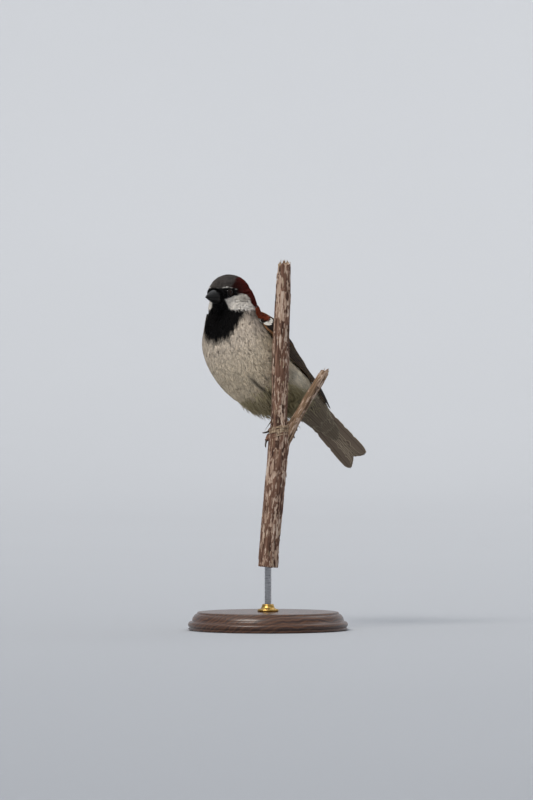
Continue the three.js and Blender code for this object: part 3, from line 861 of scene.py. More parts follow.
# ---- tufts of plumage
# A tuft is a closed spike: three rings of three points and its tip.
TUFT_POINTS = 10
TUFT_FACES = []
for ring, (a, b) in itertools.product((0, 3), ((0, 1), (1, 2), (2, 0))):
    TUFT_FACES += [(ring + a, ring + a + 3, ring + b + 3), (ring + a, ring + b + 3, ring + b)]
TUFT_FACES += [(6 + a, 9, 6 + b) for a, b in ((0, 1), (1, 2), (2, 0))] + [(0, 1, 2)]
TUFT_FACES = np.array(TUFT_FACES)
TUFT_ALONG = np.array([0, 0, 0, 0.5, 0.5, 0.5, 0.8, 0.8, 0.8, 1.0])
TUFT_PATCH = 0.003


class Feathers:
    """Small feathers laid on a surface, each a fan of tufts along a hidden shaft."""

    def __init__(self, surface, roots, normals, lie, length, half, depth, tufts, draw,
                 stand=0.0, ragged=0.12, loose=0.0):
        """lie is the way each feather points; length, half-width and depth may differ for each.

        stand lifts the tips, ragged varies how far the tufts reach, and loose, from 0 to 1,
        lets them leave the surface."""
        count = len(roots)
        self.count, self.tufts = count, tufts
        self.spread = np.linspace(-1, 1, tufts)[None, :] + draw.normal(0, 0.4 / tufts, (count, tufts))
        spread = self.spread
        side = np.cross(lie, normals)
        length, half, depth, stand = (
            np.broadcast_to(x, count)[:, None] for x in (length, half, depth, stand))
        rounded = 0.55 + 0.45 * np.sqrt(np.clip(1 - 0.85 * spread ** 2, 0, 1))
        reach = length * rounded * (1 + draw.normal(0, ragged, spread.shape))
        swing = 1 + draw.normal(0, 0.05, spread.shape)

        def lay(along, out, height):
            point = roots[:, None] + lie[:, None] * along[..., None] + side[:, None] * out[..., None]
            place, normal = surface.drop(point.reshape(-1, 3))
            place = place.reshape(count, tufts, 3)
            place = place + loose * (point - place)
            normal = normal.reshape(count, tufts, 3)
            return place + normal * height[..., None], normal

        level = 0.9 + draw.normal(0, 0.06, spread.shape)
        middle, normal = lay(0.55 * reach, 0.66 * spread * half, 0.78 * depth * np.ones_like(spread))
        tip, _ = lay(reach, spread * half * swing, depth * level + stand)
        start = roots[:, None] + lie[:, None] * (0.25 * length * (1 - np.abs(spread)))[..., None]
        start = start + side[:, None] * (0.15 * spread * half)[..., None] - 0.1 * normals[:, None]
        near = 0.36 * middle + 0.64 * tip + normal * (0.05 * depth)[..., None]
        self.middle, self.tip = middle, tip
        width = 2 * half / tufts * 1.7 * np.ones_like(spread)
        forward = unit(tip - start)
        out = unit(np.cross(forward, normal))
        points = np.empty((count, tufts, TUFT_POINTS, 3))
        for ring, (centre, share) in enumerate(((start, 0.6), (middle, 1.0), (near, 0.72))):
            half_width = out * (share * width / 2)[..., None]
            rise = normal * (0.17 * share * width)[..., None]
            points[:, :, 3 * ring] = centre - half_width - rise
            points[:, :, 3 * ring + 1] = centre + half_width - rise
            points[:, :, 3 * ring + 2] = centre + rise
        points[:, :, 9] = tip
        self.points = points

    def colours(self, at_middle, at_tip, root_down_and_shade=0.86):
        """Spreads the colours of the tufts' middles and tips over all their points."""
        along = TUFT_ALONG[None, None, :, None]
        shade = at_middle[:, :, None] + (at_tip - at_middle)[:, :, None] * np.clip(2 * along - 1, 0, 1)
        # the roots are darker: partly grey down at the feather's base, partly painted shade between the tufts
        return shade * (root_down_and_shade + (1 - root_down_and_shade) * np.clip(along * 2, 0, 1))

    def patches(self, places):
        """A small patch of the baking map for each tuft, at its root's place."""
        across_patch = np.array([-1, 1, 0, -1, 1, 0, -1, 1, 0, 0]) * TUFT_PATCH / 2
        along_patch = (TUFT_ALONG - 0.5) * TUFT_PATCH
        shift = np.stack([across_patch, along_patch], -1)
        return places[:, None, None, :] + shift + np.zeros((self.count, self.tufts, 1, 1))

    def piece(self, name, colours, places):
        """The feathers as one piece; places, one for each feather, lay out its baking map."""
        total = self.count * self.tufts
        faces = (TUFT_FACES[None] + (np.arange(total) * TUFT_POINTS)[:, None, None]).reshape(-1, 3)
        made = new_piece(name, self.points.reshape(-1, 3), faces, PLUMAGE, "plumage")
        paint(made, "tint", np.clip(colours, 0, 1).reshape(-1, 3))
        bake_map(made, self.patches(fitted(places)).reshape(-1, 2))


def thin_out(points, spacing):
    """Keeps points that are at least their own spacing from the ones already kept."""
    tree = KDTree(len(points))
    for i, p in enumerate(points.tolist()):
        tree.insert(p, i)
    tree.balance()
    free = np.ones(len(points), bool)
    kept = []
    for i, p in enumerate(points.tolist()):
        if free[i]:
            kept.append(i)
            for _, j, _ in tree.find_range(p, spacing[i]):
                free[j] = False
    return np.array(kept, int)


def fitted(places):
    """Places stretched to fill the baking map, with a margin."""
    low, high = places.min(0), places.max(0)
    return 0.01 + 0.98 * (places - low) / np.maximum(high - low, 1e-6)


def body_map(points):
    """The trunk unrolled: round it and along it."""
    t, angle = body_coordinates(points)
    return np.stack([(angle + math.pi / 2) % (2 * math.pi), t], -1)


def head_map(points):
    """The head unrolled round the line from the nape to the bill."""
    ahead, side, rise = head_coordinates(points)
    away = np.linalg.norm(points - HEAD_CENTRE, axis=1).clip(1e-6)
    return np.stack([np.arctan2(side, -rise), np.arccos(ahead / away)], -1)


# ---- finishes of the plumage
def plumage_material(name, sheen):
    """Matt plumage: the colour stored on the piece, with soft patches and fine specks."""
    material, tree, shader = new_material(
        name, Roughness=0.92, Specular_IOR_Level=0.08, Sheen_Weight=sheen, Sheen_Roughness=0.5)
    mottle = mottled(tree, attribute(tree, "tint").outputs["Color"], 260.0, 2600.0, 0.45)
    finish(tree, shader, mottle.outputs["Colour"], relief=(mottle.outputs["Height"], 0.35, 0.0001))
    return material


def vane_material():
    """Flight and covert feathers: a dark centre, pale edges and tip, a shaft and fine barbs."""
    material, tree, shader = new_material("vane", Specular_IOR_Level=0.08)
    vane = attribute(tree, "vane").outputs["Vector"]
    place = node(tree, "ShaderNodeSeparateXYZ", {0: vane}).outputs
    out = math_node(tree, "ABSOLUTE", place["X"])
    barbs = use_group(tree, BARBS, {"Vane": vane, "Barbs": 60.0, "Slant": 0.2}).outputs
    frayed = times(tree, minus(tree, barbs["Line"], 0.5), 0.12)
    edge, tip = attribute(tree, "edge").outputs, attribute(tree, "tip").outputs
    rim = soft_step(tree, minus(tree, plus(tree, out, frayed), edge["Alpha"]), 0.0, 0.09)
    shade = mix_node(tree, rim, attribute(tree, "centre").outputs["Color"], edge["Color"])
    past = minus(tree, plus(tree, place["Y"], times(tree, frayed, 0.4)), tip["Alpha"])
    shade = mix_node(tree, soft_step(tree, past, 0.0, 0.07), shade, tip["Color"])
    shaft = soft_step(tree, minus(tree, 0.075, out), 0.0, 0.03)
    shade = mix_node(tree, times(tree, shaft, 0.55), shade, SHAFT)
    lined = scaled(tree, shade, swung(tree, barbs["Line"], 0.6, 0.7))
    rough = swung(tree, barbs["Line"], 0.25, 0.55)
    finish(tree, shader, lined, rough, (barbs["Height"], 0.5, 0.00012))
    return material


PLUMAGE = plumage_material("plumage", 0.03)
DOWN = plumage_material("skin_down", 0.0)
VANE = vane_material()

# ---- wings and tail
VANE_COLUMNS = np.array([-1.0, -0.86, -0.6, -0.3, -0.07, 0.0, 0.07, 0.3, 0.6, 0.86, 1.0])


class Vanes:
    """Large feathers gathered into one piece; each is a thin closed vane with its own shaft."""

    def __init__(self, name, seed, press=1.0):
        self.name = name
        self.press = press
        self.draw = np.random.default_rng(seed)
        self.shapes, self.vanes, self.shades, self.cells = [], [], [], []

    def add(self, lay, half, centre, edge, edge_from, tip=None, tip_from=2.0, lift=0.0,
            tip_lift=0.0, skew=0.0, blunt=4.0, camber=0.35, thickness=0.22, rows=24, splits=2,
            root=0.45, arch=0.0, top=None):
        """lay(along, out, height) gives points; half is the half-width and skew widens one side.

        The edge's colour starts at edge_from of the half-width and the tip's at tip_from of the
        length. top is the centre's colour on the upper face, if it differs from the under face."""
        draw = self.draw
        s = 1 - (1 - np.linspace(0, 1, rows)) ** 1.3
        profile = (root + (1 - root) * ramp(s, 0, 0.3)) * np.clip(1 - s ** blunt, 0.0009, 1) ** 0.5
        v = VANE_COLUMNS[None, :] * np.ones((rows, 1))
        edges = 1 - np.abs(draw.normal(0, 0.02, (rows, 2)))
        for _ in range(splits):
            edges[draw.integers(rows // 3, rows - 2), draw.integers(0, 2)] *= draw.uniform(0.72, 0.9)
        wide = np.where(v < 0, (1 - skew) * edges[:, :1], (1 + skew) * edges[:, 1:])
        out = v * half * profile[:, None] * wide
        tip_fray = 1 + draw.normal(0, 0.004, v.shape) * ramp(s, 0.6, 1)[:, None]
        along = s[:, None] * tip_fray - 0.012 * np.abs(v) * (half / 3)
        bow = arch * np.sin(math.pi * s[:, None])
        level = (lift + (tip_lift - lift) * s[:, None] + bow) * self.press - camber * v ** 2
        ridge = 0.09 * (np.abs(v) < 0.01) * (1 - 0.6 * s[:, None])
        thick = thickness * (1 - 0.55 * v ** 2) * (1 - 0.3 * s[:, None])
        upper = lay(along, out, level + ridge)
        lower = lay(along, out, level - thick - ridge)
        ring = np.concatenate([upper, lower[:, ::-1]], 1)
        columns = ring.shape[1]
        points, faces = close_ends(ring.reshape(-1, 3), grid_faces(rows, columns), rows, columns)
        faces = faced_out(points, faces)
        around = np.concatenate([v, v[:, ::-1]], 1)
        vane = np.stack([around, s[:, None] + np.zeros((rows, columns))], -1).reshape(-1, 2)
        vane = np.vstack([vane, [[0, 0], [0, 1]]])
        under = np.repeat([[0.0, 1.0]], columns // 2, axis=1) + np.zeros((rows, 1))
        under = np.append(under, [0, 0])
        cell = np.stack([0.25 + 0.5 * under + 0.21 * vane[:, 0], 0.04 + 0.92 * vane[:, 1]], -1)
        tone = 1 + draw.normal(0, 0.07)
        tip = edge if tip is None else tip
        row = np.concatenate([centre * tone, [1.0], edge * tone, [edge_from], tip, [tip_from]])
        self.shapes.append((points, faces))
        self.vanes.append(np.column_stack([vane, np.full(len(vane), draw.random())]))
        shades = np.tile(row, (len(points), 1))
        if top is not None:
            shades[under < 0.5, :3] = top * tone
        self.shades.append(shades)
        self.cells.append(cell)

    def piece(self, slot):
        points, faces = joined(self.shapes)
        made = new_piece(self.name, points, faces, VANE, slot)
        paint(made, "vane", np.vstack(self.vanes), "FLOAT_VECTOR")
        shades = np.vstack(self.shades)
        for k, label in enumerate(("centre", "edge", "tip")):
            paint(made, label, shades[:, 4 * k:4 * k + 4])
        side = math.ceil(math.sqrt(len(self.cells)))
        places = [(cell + [k % side, k // side]) / side for k, cell in enumerate(self.cells)]
        bake_map(made, np.vstack(places))
        return made


LEFT_SAG = 30.0  # degrees that the left wing's lowest feathers hang over the flank near the tip


def wing_lay(side, root, tip, bow=0.0):
    """A feather's own surface on the folded wing, from its root to its tip.

    root and tip are a place along the trunk and an angle in degrees; side is 1 for the left wing."""

    def lay(along, out, height):
        place = root[0] + (tip[0] - root[0]) * along
        bend = bow * np.sin(math.pi * np.clip(along, 0, 1))
        angle = np.radians(root[1] + (tip[1] - root[1]) * along + bend)
        if side > 0:
            sag = np.exp(-(((place - 0.18) / 0.075) ** 2)) * ramp(55 - np.degrees(angle), 0, 50)
            angle = angle - math.radians(LEFT_SAG) * sag
        rows = smooth(SPINE[:, 6:8], place)
        radius = np.hypot(rows[..., 0] * np.sin(angle), rows[..., 1] * np.cos(angle)) + WING_CLEARANCE
        angle = angle + out / radius
        if side > 0:
            return body_point(place, angle, WING_CLEARANCE + height)
        # The right wing's lower half is sunk in the feathers of the breast.
        sunk = RIGHT_SUNK * ramp(45 - np.degrees(angle), 0, 30) * ramp(place, 0.3, 0.45)
        return body_point(place, math.pi - angle, WING_CLEARANCE - sunk + height)

    return lay


FLIGHT = tint(36, 28, 23)
FLIGHT_EDGE = tint(156, 128, 92)
FLIGHT_RUFOUS = tint(136, 86, 52)
TERTIAL = tint(31, 24, 20)
TERTIAL_EDGE = tint(164, 124, 86)
GREATER = tint(33, 25, 20)
GREATER_EDGE = tint(136, 98, 68)
MEDIAN = tint(30, 22, 18)
BAR = tint(240, 236, 226)
TAIL_TOP = tint(66, 54, 45)
TAIL_SHADE = tint(118, 104, 90)
TAIL_EDGE = tint(176, 160, 138)


def make_wing(name, side, seed):
    """A folded wing, feather by feather from the outermost primary up to the tertials."""
    wing = Vanes(name, seed, 1.0 if side > 0 else RIGHT_PRESS)
    jitter = np.random.default_rng(seed + 1)
    for k in range(9):  # primaries
        root = (0.62, -7 + 2.4 * k)
        tip = (0.082 + 0.017 * k + jitter.normal(0, 0.002), 13 + 3.2 * k)
        lay = wing_lay(side, root, tip, bow=-7 + 0.4 * k)
        wing.add(lay, 3.0, FLIGHT, FLIGHT_EDGE, 0.93, lift=0.5 + 0.11 * k, tip_lift=0.5 + 0.13 * k,
                 skew=0.25, blunt=6.0, camber=0.2, rows=34, arch=0.3 + 0.1 * k)
    for k in range(6):  # secondaries
        root = (0.6, 14 + 4.5 * k)
        tip = (0.235 + 0.01 * k + jitter.normal(0, 0.003), 42 + 3.2 * k)
        lay = wing_lay(side, root, tip, bow=-5)
        wing.add(lay, 3.9, FLIGHT, FLIGHT_RUFOUS, 0.9, lift=1.5 + 0.1 * k, tip_lift=2.0 + 0.12 * k,
                 blunt=7.0, camber=0.25, rows=28, arch=0.9)
    for k in range(3):  # tertials
        root = (0.6, 46 + 10 * k)
        tip = (0.2 + 0.055 * k, 54 + 8.5 * k)
        lay = wing_lay(side, root, tip)
        wing.add(lay, 5.2 - 0.3 * k, TERTIAL, TERTIAL_EDGE, 0.62, lift=2.2 + 0.12 * k,
                 tip_lift=2.5 + 0.25 * k, blunt=5.0, camber=0.45, rows=28, tip_from=0.93, arch=0.8)
    for k in range(6):  # primary coverts
        root = (0.67, -9 + 2.2 * k)
        lay = wing_lay(side, root, (0.49 + 0.006 * k, -7 + 2.6 * k))
        wing.add(lay, 1.7, FLIGHT, FLIGHT_RUFOUS, 0.88, lift=1.5 + 0.08 * k,
                 tip_lift=1.3 + 0.08 * k, camber=0.2, rows=18)
    for k in range(3):  # the bastard wing
        lay = wing_lay(side, (0.72, -6 + 2.4 * k), (0.56 + 0.03 * k, -8.5 + 2.6 * k))
        wing.add(lay, 2.0, FLIGHT, FLIGHT_EDGE, 0.9, lift=1.9 + 0.1 * k,
                 tip_lift=1.8 + 0.1 * k, camber=0.25, rows=18)
    for k in range(10):  # greater coverts
        root = (0.74, -5 + 8.2 * k)
        tip = (0.535 + 0.004 * k + jitter.normal(0, 0.003), -1 + 8.2 * k)
        wing.add(wing_lay(side, root, tip), 3.3, GREATER, GREATER_EDGE, 0.6, lift=2.3 + 0.06 * k,
                 tip_lift=2.25 + 0.06 * k, camber=0.45, rows=20, tip=FLIGHT_EDGE, tip_from=0.94)
    for k in range(7):  # median coverts; those above them lie hidden under the shoulder feathers
        root = (0.80, -1 + 8.0 * k)
        tip = (0.70 + jitter.normal(0, 0.003), 1 + 8.2 * k)
        wing.add(wing_lay(side, root, tip), 3.2, MEDIAN, BAR, 0.92, lift=2.2 + 0.05 * k,
                 tip_lift=2.85 + 0.05 * k, camber=0.5, rows=16, tip=BAR, tip_from=0.5, blunt=3.2)
    return wing.piece("flight_feathers")


def tail_frame():
    """The tail's own directions: along it, to its left and up from it."""
    axis = unit(TAIL_AXIS)
    left = across(TAIL_LEFT, axis)
    return axis, left, np.cross(left, axis)


def make_tail():
    """Twelve tail feathers; the central pair lies on top and the outermost pair beneath."""
    tail = Vanes("tail_feathers", 61)
    axis, left, up = tail_frame()
    draw = np.random.default_rng(62)
    for k in range(6):
        for side in (1, -1):
            start, end = side * (0.6 + 0.85 * k), side * (1.9 + 0.92 * k)
            length = TAIL_LENGTH - 0.6 + 0.5 * k - (0.8 if k == 5 else 0) + draw.normal(0, 0.4)

            def lay(along, out, height, start=start, end=end, length=length):
                spread = start + (end - start) * along
                rise = height - 0.012 * spread ** 2
                point = TAIL_ROOT + (along * length)[..., None] * axis
                return point + (spread + out)[..., None] * left + rise[..., None] * up

            tail.add(lay, 2.9, TAIL_SHADE, TAIL_EDGE, 0.84, lift=0.62 - 0.2 * k,
                     tip_lift=0.55 - 0.2 * k, skew=-side * 0.2, blunt=20.0, camber=0.12, rows=34,
                     splits=5, root=0.6, top=TAIL_TOP)
    return tail.piece("flight_feathers")


# The end of the trunk along the tail: distance from the tail's root, half-width and depths.
RUMP_PLACES = [0, 9, 18, 26, 32, 42]
RUMP_HALF = [11.2, 9.8, 8.0, 6.6, 6.2, 6.4]
RUMP_UNDER = [10.2, 7.6, 4.8, 2.8, 1.9, 1.2]
RUMP_OVER = [8.0, 5.8, 3.6, 1.9, 1.2, 0.9]
COVERT_LENGTH = 17.0
# Name, side, depths, turn of the outermost feather in degrees, colour, rim, and for each row
# how many feathers it has, how far out it reaches and their half-width.
TAIL_COVERTS = (
    ("tail_coverts_under", -1, RUMP_UNDER, 62, UNDERTAIL, VENT_PALE,
     ((15, 21, 3.6), (11, 29, 3.3), (7, 37, 2.9))),
    ("tail_coverts_upper", 1, RUMP_OVER, 82, RUMP_DARK, RUMP,
     ((11, 21, 3.5), (9, 27, 3.2), (5, 32, 2.8))),
)


def make_tail_coverts():
    """The longer coverts that run out along the tail, above it and below it."""
    axis, left, up = tail_frame()
    draw = np.random.default_rng(63)
    for name, side, depths, turn_to, shade, rim, rows in TAIL_COVERTS:
        coverts = Vanes(name, 64)
        pale = blend(shade[None], rim, np.array([0.45]))[0]
        for row, (number, reach, half) in enumerate(rows):
            for k in range(number):
                place = (k / (number - 1) - 0.5) * 2
                length = COVERT_LENGTH * draw.uniform(0.9, 1.1)
                start = reach - length + draw.normal(0, 0.8) - 3.0 * place ** 2
                angle = place * math.radians(turn_to - 14 * row)

                def lay(along, out, height, start=start, length=length, angle=angle,
                        depths=depths, side=side):
                    far = start + along * length
                    wide = table(RUMP_PLACES, RUMP_HALF, far) + height
                    settle = 0.5 - 0.35 * np.clip(far / 30, 0, 1)
                    deep = table(RUMP_PLACES, depths, far) + height + settle
                    turn = angle + out / np.maximum(wide, 3.0)
                    point = TAIL_ROOT + far[..., None] * axis + (wide * np.sin(turn))[..., None] * left
                    return point + side * (deep * np.cos(turn))[..., None] * up

                coverts.add(lay, half, shade, pale, 0.45, camber=0.15, rows=16, blunt=2.0, splits=6,
                            thickness=0.12, lift=0.1 - 0.1 * row, tip_lift=0.2 - 0.12 * row,
                            tip=pale, tip_from=0.94)
        coverts.piece("plumage")


# ---- bill and eyes
CULMEN = 12.0
BILL_DEPTH = 8.2
BILL_WIDTH = 7.4
GAPE_DROP = 3.4
BILL_ROOT = 3.0
UPPER_SHARE = 0.58
LOWER_SHORTER = 0.9
LOWER_NARROWER = 0.94
GAPE_GAP = 0.07
CULMEN_CURVE = 1.42
BILL_TAPER = 1.22


def mandible(side):
    """The horn of one half of the bill: side is 1 for the upper half and -1 for the lower."""
    steps, arc = 44, 28
    upper = side > 0
    length = CULMEN if upper else CULMEN - LOWER_SHORTER
    depth = BILL_DEPTH * UPPER_SHARE if upper else BILL_DEPTH * (1 - UPPER_SHARE) - GAPE_GAP
    half_width = BILL_WIDTH / 2 * (1 if upper else LOWER_NARROWER)
    tip = BILL_TO_HEAD_CENTRE - (0 if upper else LOWER_SHORTER)
    drop = -GAPE_DROP - (0 if upper else GAPE_GAP)
    root = tip - length
    angle = np.linspace(0, math.pi, arc + 1)
    rows = []
    for i in range(steps + 1):
        share = 1 - (1 - i / steps) ** 1.25
        ahead = root - BILL_ROOT + (length + BILL_ROOT) * share
        past = min(1.0, max(0.0, (ahead - root) / length))
        height = depth * max(0.03, (1 - past ** CULMEN_CURVE) ** 0.95)
        width = half_width * max(0.03, (1 - past ** BILL_TAPER) ** 0.92)
        rise = np.sin(angle) ** 0.9 * height
        sideways = width * np.cos(angle)
        # Nostril pit beside the ridge, a groove over the cutting edge and a slight ridge line.
        pit = math.exp(-((ahead - root - 0.9) / 0.55) ** 2)
        pit = pit * np.exp(-((np.abs(np.cos(angle)) - 0.62) / 0.1) ** 2)
        groove = np.exp(-((np.sin(angle) - 0.2) / 0.09) ** 2) * (1 - past) * 0.1
        keel = 0.14 * np.exp(-((angle - math.pi / 2) / 0.16) ** 2) * (1 - past)
        shrink = 1 - (0.5 * pit / max(width, 0.5) if upper else 0) - groove / max(width, 0.5)
        curve = 0.35 * ramp(np.array(0.25 - past), 0, 0.25)  # the gape turns down at its corner
        curve = curve + 0.4 * past ** 3  # and the tip a little
        level = drop - curve + side * (rise * shrink + keel)
        rows.append(head_point(ahead + 0 * angle, sideways * shrink, level))
    faces = grid_faces(steps + 1, arc + 1)
    points, triangles = close_ends(np.vstack(rows), faces, steps + 1, arc + 1)
    return points, faced_out(points, triangles)


def horn_material():
    """Dark bill horn with faint lengthwise grain and a satin polish."""
    material, tree, shader = new_material(
        "bill_horn", Specular_IOR_Level=0.32, Coat_Weight=0.05, Coat_Roughness=0.35)
    streak = streaks(tree, own_place(tree), 700.0, 0.5, 4.0)
    stops = [(0.3, tint(10, 9, 9)), (0.55, tint(22, 21, 21)), (0.8, tint(42, 41, 39))]
    shade = ramp_node(tree, streak, stops)
    finish(tree, shader, shade, swung(tree, streak, 0.3, 0.32), (streak, 0.35, 0.0001))
    return material


def eye_axis(side):
    return unit(side * HEAD_LEFT + 0.2 * HEAD_FORWARD + 0.03 * UP)


def turned(centre, axis, profile, sides):
    """A closed piece turned round an axis from (distance along it, radius) pairs.

    It starts and ends on the axis, so its first and last radii are tiny."""
    reference = UP if abs(axis[2]) < 0.9 else np.array([1.0, 0, 0])
    across_axis = across(reference, axis)
    other = np.cross(axis, across_axis)
    angle = np.linspace(0, 2 * math.pi, sides, endpoint=False)
    ring = np.cos(angle)[:, None] * across_axis + np.sin(angle)[:, None] * other
    points = np.vstack([centre + axis * along + ring * radius for along, radius in profile])
    points, triangles = close_ends(points, grid_faces(len(profile), sides), len(profile), sides)
    return points, faced_out(points, triangles)


CORNEA_BULGE = 0.1
PAST_THE_IRIS = 9.0


def make_eye(name, side):
    """An eyeball with a bulging cornea; its colour is set by the distance from its axis."""
    profile = []
    for turn in np.linspace(math.pi * 0.995, math.pi * 0.005, 40):
        radius = EYE_RADIUS + CORNEA_BULGE * math.exp(-((turn / 0.6) ** 2))
        profile.append((radius * math.cos(turn), radius * math.sin(turn)))
    centre = eye_centre(side)
    axis = eye_axis(side)
    points, faces = turned(centre, axis, profile, 48)
    eye = new_piece(name, points, faces, EYE, "eyes")
    away = points - centre
    depth = away @ axis
    ring = np.linalg.norm(away - depth[:, None] * axis, axis=1)
    paint(eye, "ring", np.where(depth > 0, ring, PAST_THE_IRIS), "FLOAT")
    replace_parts(eye, name)


def eye_material():
    """A dark glossy eye: black pupil, deep brown iris with fine fibres, and a dark rim."""
    material, tree, shader = new_material(
        "eye", Specular_IOR_Level=0.16, Coat_Weight=0.12, Coat_Roughness=0.02)
    ring = attribute(tree, "ring").outputs["Fac"]
    fibre = noise_texture(tree, own_place(tree), 2500.0, 3.0)
    edge = plus(tree, ring, times(tree, minus(tree, fibre, 0.5), 0.25))
    share = math_node(tree, "DIVIDE", edge, 2.4)
    stops = [(0.36, tint(5, 4, 4)), (0.44, tint(40, 23, 14)), (0.66, tint(30, 17, 11)),
             (0.78, tint(8, 6, 6))]
    finish(tree, shader, ramp_node(tree, share, stops), swung(tree, fibre, 0.04, 0.04))
    return material


EYE = eye_material()
HORN = horn_material()

LID_RADIUS = 2.2
LID_WIDE = 0.44
LID_THICK = 0.2


def lid_ring(side):
    """The bare rim of the eyelids: a beaded ring seated where the cornea meets the skin."""
    centre = eye_centre(side)
    axis = eye_axis(side)
    ahead = across(HEAD_FORWARD, axis)
    above = np.cross(axis, ahead)
    rise = math.sqrt(EYE_RADIUS ** 2 - LID_RADIUS ** 2)
    around, sides = 72, 12
    tube = np.linspace(0, 2 * math.pi, sides, endpoint=False)[:, None]
    rows = []
    for turn in np.linspace(0, 2 * math.pi, around, endpoint=False):
        out = math.cos(turn) * 1.06 * ahead + math.sin(turn) * 0.94 * above
        front = 0.22 * math.exp(-((math.cos(turn) - 1) / 0.06) ** 2)
        back = 0.12 * math.exp(-((math.cos(turn) + 1) / 0.06) ** 2)
        bead = 1 + 0.12 * abs(math.sin(11 * turn))
        slope = unit(out * rise - axis * LID_RADIUS)
        thick = np.cross(slope, unit(np.cross(axis, out)))
        ring = np.cos(tube) * slope * LID_WIDE + np.sin(tube) * thick * LID_THICK
        rows.append(centre + (rise + 0.12) * axis + (LID_RADIUS + front + back) * out + ring * bead)
    points = np.vstack(rows)
    start = np.arange(around)[:, None] * sides
    following = (start + sides) % (around * sides)
    c = np.arange(sides)[None, :]
    onward = (c + 1) % sides
    quads = np.stack([start + c, start + onward, following + onward, following + c], -1)
    return points, faced_out(points - centre, halved(quads.reshape(-1, 4)))


# ---- legs and claws
LEGS = {
    "right": {
        "tarsus": [[6.4, 27.0, 139.0], [5.4, 19.6, 130.8], [4.6, 8.6, 119.4]],
        "inner": ([[4.6, 8.6, 119.6], [2.2, 7.0, 120.4], [0.6, 4.6, 119.2]], [-3.6, 3.2, 118.4]),
        "middle": ([[4.6, 8.6, 119.2], [0.8, 5.6, 116.6], [-0.9, 1.8, 113.8]], [-1.2, -0.6, 109.4]),
        "outer": ([[4.8, 8.6, 118.8], [2.6, 7.2, 113.6], [1.2, 5.4, 110.2]], [1.0, 3.4, 106.6]),
        "hind": ([[4.8, 8.6, 119.2], [8.2, 7.8, 116.0], [10.6, 6.6, 113.4]], [12.4, 4.6, 110.8]),
    },
    "left": {
        "tarsus": [[10.0, 25.0, 141.4], [9.4, 18.0, 133.8], [9.0, 8.6, 124.0]],
        "inner": ([[9.0, 8.6, 124.2], [7.4, 6.6, 127.4], [8.6, 5.6, 130.4]], [9.4, 4.6, 134.0]),
        "middle": ([[9.2, 8.4, 124.0], [12.6, 6.0, 123.4], [15.2, 5.2, 122.4]], [17.3, 3.6, 119.4]),
        "outer": ([[9.2, 8.4, 123.4], [12.4, 6.2, 119.8], [14.4, 4.8, 117.8]], [15.6, 2.4, 115.0]),
        "hind": ([[8.8, 8.6, 123.6], [5.6, 7.6, 124.6], [3.4, 5.8, 125.6]], [2.6, 3.4, 127.6]),
    },
}
TOES = ("inner", "middle", "outer", "hind")
TARSUS_RADIUS = 1.05
TOE_RADIUS = 0.9
TOE_SWELL = np.array([1.2, 1.25, 1.6, 1.05])  # from its root to its claw; the third is the pad
CLAW_RADIUS = 0.5
CLAW_TAPER = np.array([1.25, 1.0, 0.72, 0.12])
CLAW_GAP = 0.1
CLAW_CURVE = 0.35
SCUTE = 0.95  # length of one horny plate on the shank
TOE_SCUTE = 0.62


def scutes(pitch, depth):
    """Overlapping plates along a leg: each swells towards its lower edge."""

    def shape(distance, angle):
        step = (distance / pitch) % 1.0
        return 1 + depth * (step ** 2 - 0.3) * (0.6 + 0.4 * np.cos(angle))

    return shape


def make_foot(name, leg):
    """The bare shank and four toes with their plates and pads."""
    shank_radii = np.array([1.25, 1.0, 1.1]) * TARSUS_RADIUS
    tubes = [sweep(leg["tarsus"], shank_radii, 14, 90, scutes(SCUTE, 0.16))]
    for toe in TOES:
        line = np.array(leg[toe][0])
        rows = [line[0], (line[0] + line[1]) / 2, line[1], line[2]]
        tubes.append(sweep(rows, TOE_SWELL * TOE_RADIUS, 12, 60, scutes(TOE_SCUTE, 0.2)))
    points, faces = joined([tube[:2] for tube in tubes])
    foot = new_piece(name, points, faces, LEG, "leg_scales")
    along, around = (np.concatenate([tube[k] for tube in tubes]) for k in (2, 3))
    paint(foot, "plate", np.stack([along, around, np.zeros(len(points))], -1), "FLOAT_VECTOR")
    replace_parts(foot, name)


def make_claw(name, line, point):
    """One curved, tapering claw with a fine point."""
    line, point = np.array(line), np.array(point)
    toward = unit(line[2] - line[1])
    start = line[2] + CLAW_GAP * toward
    bow = (start + point) / 2 + toward * np.linalg.norm(point - start) * CLAW_CURVE
    rows = [start, start * 0.3 + bow * 0.7, bow * 0.55 + point * 0.45, point]
    points, faces, _, _ = sweep(rows, CLAW_TAPER * CLAW_RADIUS, 12, 20)
    claw = new_piece(name, points, faces, CLAW, "claws")
    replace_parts(claw, name)


def leg_material():
    """Pale brown horny scales with darker joints between the plates."""
    material, tree, shader = new_material("leg_scales", Specular_IOR_Level=0.4)
    plate = node(tree, "ShaderNodeSeparateXYZ", {0: attribute(tree, "plate").outputs["Vector"]})
    step = math_node(tree, "FRACT", math_node(tree, "DIVIDE", plate.outputs["X"], SCUTE))
    joint = soft_step(tree, step, 0.82, 0.98)
    inputs = {"Vector": own_place(tree), "Scale": 2200.0}
    cells = node(tree, "ShaderNodeTexVoronoi", inputs).outputs["Distance"]
    horn = mottled(tree, tint(128, 92, 74), 300.0, 1800.0, 0.5).outputs["Colour"]
    shade = mix_node(tree, times(tree, joint, 0.7), horn, tint(66, 44, 34))
    finish(tree, shader, shade, swung(tree, cells, 0.3, 0.38), (cells, 0.5, 0.0001))
    return material


def claw_material():
    """Dark claw horn with fine streaks."""
    material, tree, shader = new_material("claw_horn", Specular_IOR_Level=0.5)
    streak = streaks(tree, own_place(tree), 1500.0, 0.4, 3.0)
    shade = ramp_node(tree, streak, [(0.3, tint(34, 26, 22)), (0.7, tint(78, 62, 52))])
    finish(tree, shader, shade, swung(tree, streak, 0.2, 0.25), (streak, 0.3, 0.00005))
    return material


